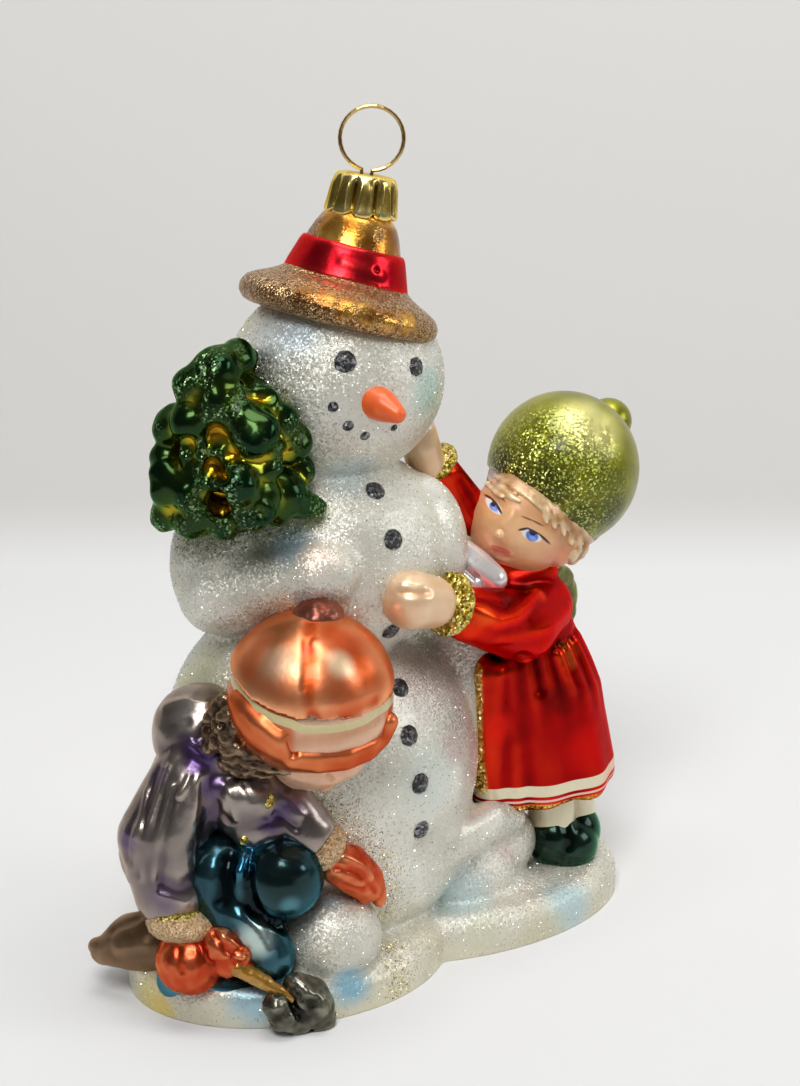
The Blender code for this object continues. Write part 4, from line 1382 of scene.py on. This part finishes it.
def makeBoy():
    makePlain(boy["hair"], (1.7, 1.0), (12, 0.3), "hair_paint", "darkHair", (0.012, 0.006, 0.004),
              (0.075, 0.042, 0.026), (0.48, 0.34, 0.20), 0.28, 0.8, 260.0, 0.3)

    makePlain(boy["face"], None, (), "skin_paint", "boySkin", (0.52, 0.18, 0.08), (0.74, 0.38, 0.22),
              (0.88, 0.60, 0.42), 0.3, 0.35)

    jacket = formed(boy["jacket"])
    clouds(jacket, 8.0, 0.7)
    smoothShade(jacket)
    relief(jacket, 40, 0.4)
    brush = lacquer("purpleLacquer", (0.03, 0.012, 0.07), (0.17, 0.135, 0.135), (0.48, 0.41, 0.35), 0.28,
                    0.94, 60.0, 0.25)
    surface = surfaceOf(jacket)
    # painted shade in the creases and painted highlights
    brush.set("Base Color", tinted(brush, surface, brush.colour, boy["jacketShadeAndHighlights"]))
    coat(jacket, brush, "purple_lacquer")

    parts = []
    for row in boy["dabs"]:
        station = laid(surface, [row], 0.35)[0]
        parts.append(ball(station[:3], (station[3],) * 3))
    dabs = fuse("goldDabs", parts, 0.2, 1)
    clouds(dabs, 0.6, 0.3)
    coat(dabs, glitter("dabGlitter", *goldGrains, 2200.0),
         "gold_glitter")

    cuffs = formed(boy["cuffs"])
    clouds(cuffs, 0.8, 0.3)
    smoothShade(cuffs)
    gapShare(cuffs, "line", [[(151, 911), (166, 916), (184, 915), (200, 907), (211, 896)],
                             [(308, 843), (316, 836), (322, 829)]])
    brush = glitter("tanGlitter", (0.42, 0.25, 0.11), (0.62, 0.40, 0.20), (0.85, 0.66, 0.42), 3600.0, 0.25,
                    0.5)
    mask = brush.share("line").step(1.3, 1.0)
    tones = brush.split(brush.grains(2300.0, "Color"))
    gold = brush.ramp(tones[0], [(0.0, (0.25, 0.16, 0.0)), (0.5, (0.6, 0.46, 0.06)),
                                 (1.0, (1.0, 0.9, 0.4))])
    base = brush.shader.inputs["Base Color"].links[0].from_socket
    brush.set("Base Color", brush.mix(mask.socket, base, gold))
    brush.set("Metallic", mask * 0.6 + 0.25)
    coat(cuffs, brush, "tan_glitter")

    makePlain(boy["gloves"], (2.4, 0.5), (24, 0.35), "copper_lacquer", "gloveLacquer", (0.24, 0.015, 0.003),
              (0.56, 0.06, 0.014), (0.92, 0.36, 0.16), 0.34, 0.9, 80.0, 0.2)

    trousers = formed(boy["trousers"])
    smoothShade(trousers)
    relief(trousers, 40, 0.4)
    brush = lacquer("tealLacquer", (0.001, 0.004, 0.006), (0.004, 0.015, 0.02), (0.05, 0.15, 0.19), 0.24,
                    0.94, 60.0, 0.25)
    # the tints hold a painted highlight on the lower leg
    colour = tinted(brush, surfaceOf(trousers), brush.colour, boy["trouserTintsAndHighlight"], 0.0, 0.2)
    brush.set("Base Color", colour)
    coat(trousers, brush, "teal_lacquer")

    makePlain(boy["boot"], (4.0, 0.25), (), "brown_lacquer", "bootLacquer", (0.045, 0.024, 0.012),
              (0.13, 0.075, 0.04), (0.32, 0.21, 0.13), 0.36, 0.7, 90.0, 0.2)

    makePlain(boy["handle"], (1.6, 0.4), (12, 0.3), "brown_lacquer", "handleLacquer", (0.12, 0.04, 0.005),
              (0.40, 0.19, 0.03), (0.72, 0.46, 0.14), 0.3, 0.7, 240.0)

    makePlain(boy["blade"], (2.0, 0.7), (), "pewter_lacquer", "pewterLacquer", (0.006, 0.006, 0.004),
              (0.028, 0.026, 0.018), (0.28, 0.27, 0.21), 0.28, 0.9, 120.0, 0.2)


makeBoyHat()
makeBoy()
print("kneeling child")


# Cap and ring

crown = {
    "place": (6.9, 0, 125.9), "lean": 10.5, "petals": 9,
    "profile": [(3.6, -0.2), (5.75, -0.5), (5.95, 0.0), (5.8, 0.9), (5.6, 2.0), (5.45, 3.2), (5.3, 4.4),
                (5.2, 5.2), (5.0, 5.9), (4.5, 6.35), (3.6, 6.5), (2.4, 6.45), (0.0, 6.4)],
}


def makeCap():
    cap = turned("cap", crown["profile"], (0, 0, 0), 0, 180)
    useModifier(cap, "SUBSURF", levels=1)
    places = points(cap)
    angle = np.arctan2(places[:, 1], places[:, 0])
    rise = places[:, 2] / mm
    far = np.hypot(places[:, 0], places[:, 1]) / mm
    side = np.clip((far - 3.4) / 1.2, 0, 1) * np.clip((6.3 - rise) / 1.2, 0, 1)
    wave = np.abs(np.cos(angle * crown["petals"] / 2))
    flute = -0.75 * (1 - wave) ** 2.2 * side
    arch = 0.16 * np.exp(-((wave - 0.62 - 0.05 * rise) / 0.09) ** 2) * side * np.clip((5.2 - rise) / 1.0, 0,
                                                                                      1)
    change = 1 + (flute + arch) / np.maximum(far, 1)
    places[:, 0] *= change
    places[:, 1] *= change
    places[:, 2] += 0.75 * mm * (1 - wave) ** 1.6 * np.clip((1.4 - rise) / 1.4, 0, 1) * side
    setPoints(cap, places)
    cap.location = Vector(crown["place"]) * mm
    cap.rotation_euler = (0, math.radians(crown["lean"]), 0)
    applyPlace(cap)
    smoothShade(cap)
    relief(cap, 14, 0.12)
    brush = lacquer("capGold", (0.08, 0.045, 0.008), (0.52, 0.36, 0.08), (0.95, 0.78, 0.30), 0.24, 1.0,
                    200.0, 0.0)
    coat(cap, brush, "cap_gold", "crown_cap")


def paintWire():
    # the ring keeps its own solid and gets a worked finish
    brush = Brush("wireGold", 0.22, 1.0)
    brush.set("Base Color", brush.ramp(brush.noise(160.0, 3.0),
                                       [(0.3, (0.36, 0.22, 0.07)), (0.7, (0.80, 0.58, 0.26))]))
    brush.bump(brush.noise(900.0, 2.0), 0.15, 0.1)
    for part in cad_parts["wire_hanger"].material_slots:
        part.material = brush.material


makeCap()
paintWire()


# Stage, light and camera

stage = {"size": 4.0, "behind": 0.21, "height": 2.5, "bend": 0.09}


def makeStage():
    clearPick()
    far = stage["behind"]
    bpy.ops.mesh.primitive_plane_add(size=stage["size"], location=(0, far - stage["size"] / 2, 0))
    floor = bpy.context.active_object
    floor.name = "floor"
    bpy.ops.object.mode_set(mode="EDIT")
    bpy.ops.mesh.select_all(action="DESELECT")
    grid = bmesh.from_edit_mesh(floor.data)
    for edge in grid.edges:
        edge.select_set(all(v.co.y > stage["size"] * 0.49 for v in edge.verts))
    bmesh.update_edit_mesh(floor.data)
    bpy.ops.mesh.extrude_region_move(TRANSFORM_OT_translate={"value": (0, 0, stage["height"])})
    bpy.ops.mesh.select_all(action="DESELECT")
    grid = bmesh.from_edit_mesh(floor.data)
    for edge in grid.edges:
        edge.select_set(all(v.co.y > stage["size"] * 0.49 and v.co.z < 0.1 for v in edge.verts))
    bmesh.update_edit_mesh(floor.data)
    bpy.ops.mesh.bevel(offset=stage["bend"], segments=16)
    bpy.ops.object.mode_set(mode="OBJECT")
    applyPlace(floor)
    floor.rotation_euler = (0, 0, math.radians(view["azimuth"]))
    applyPlace(floor)
    smoothShade(floor)
    brush = Brush("paleFloor", 0.7)
    # the wall is painted darker than the floor, as painted shade
    brush.set("Base Color", brush.mix(brush.height().step(-2.0, 22.0).socket, (0.84, 0.84, 0.835),
                                      (0.66, 0.645, 0.62)))
    floor.data.materials.append(brush.material)


lamps = [
    {"name": "window", "place": (-0.40, -0.50, 0.75), "size": 0.36, "power": 4.3},
    {"name": "fill", "place": (0.60, -0.50, 0.40), "size": 0.30, "power": 1.3},
    {"name": "top", "place": (0.02, -0.10, 0.90), "size": 0.50, "power": 4.2},
]


def makeLight():
    for lamp in lamps:
        light = bpy.data.lights.new(lamp["name"], "AREA")
        light.size = lamp["size"]
        light.energy = lamp["power"]
        holder = bpy.data.objects.new(lamp["name"], light)
        holder.location = lamp["place"]
        aim = Vector(view["target"]) - Vector(lamp["place"])
        holder.rotation_euler = aim.to_track_quat("-Z", "Y").to_euler()
        bpy.context.scene.collection.objects.link(holder)
    world = bpy.data.worlds.new("studio")
    world.use_nodes = True
    world.node_tree.nodes["Background"].inputs["Color"].default_value = (0.92, 0.93, 0.95, 1)
    world.node_tree.nodes["Background"].inputs["Strength"].default_value = 0.11
    bpy.context.scene.world = world
    bpy.context.scene.view_settings.view_transform = "Standard"


def makeCamera():
    camera = bpy.data.cameras.new("photoView")
    camera.sensor_fit = "VERTICAL"
    camera.sensor_height = view["sensor"]
    camera.lens = view["focal"] / view["picture"][1] * view["sensor"]
    camera.clip_start = 0.01
    holder = bpy.data.objects.new("photoView", camera)
    right, up, back = cameraAxes()
    turn = Matrix((right, up, back)).transposed().to_4x4()
    holder.matrix_world = Matrix.Translation(cameraPlace()) @ turn
    bpy.context.scene.collection.objects.link(holder)
    bpy.context.scene.camera = holder


makeStage()
makeLight()
makeCamera()
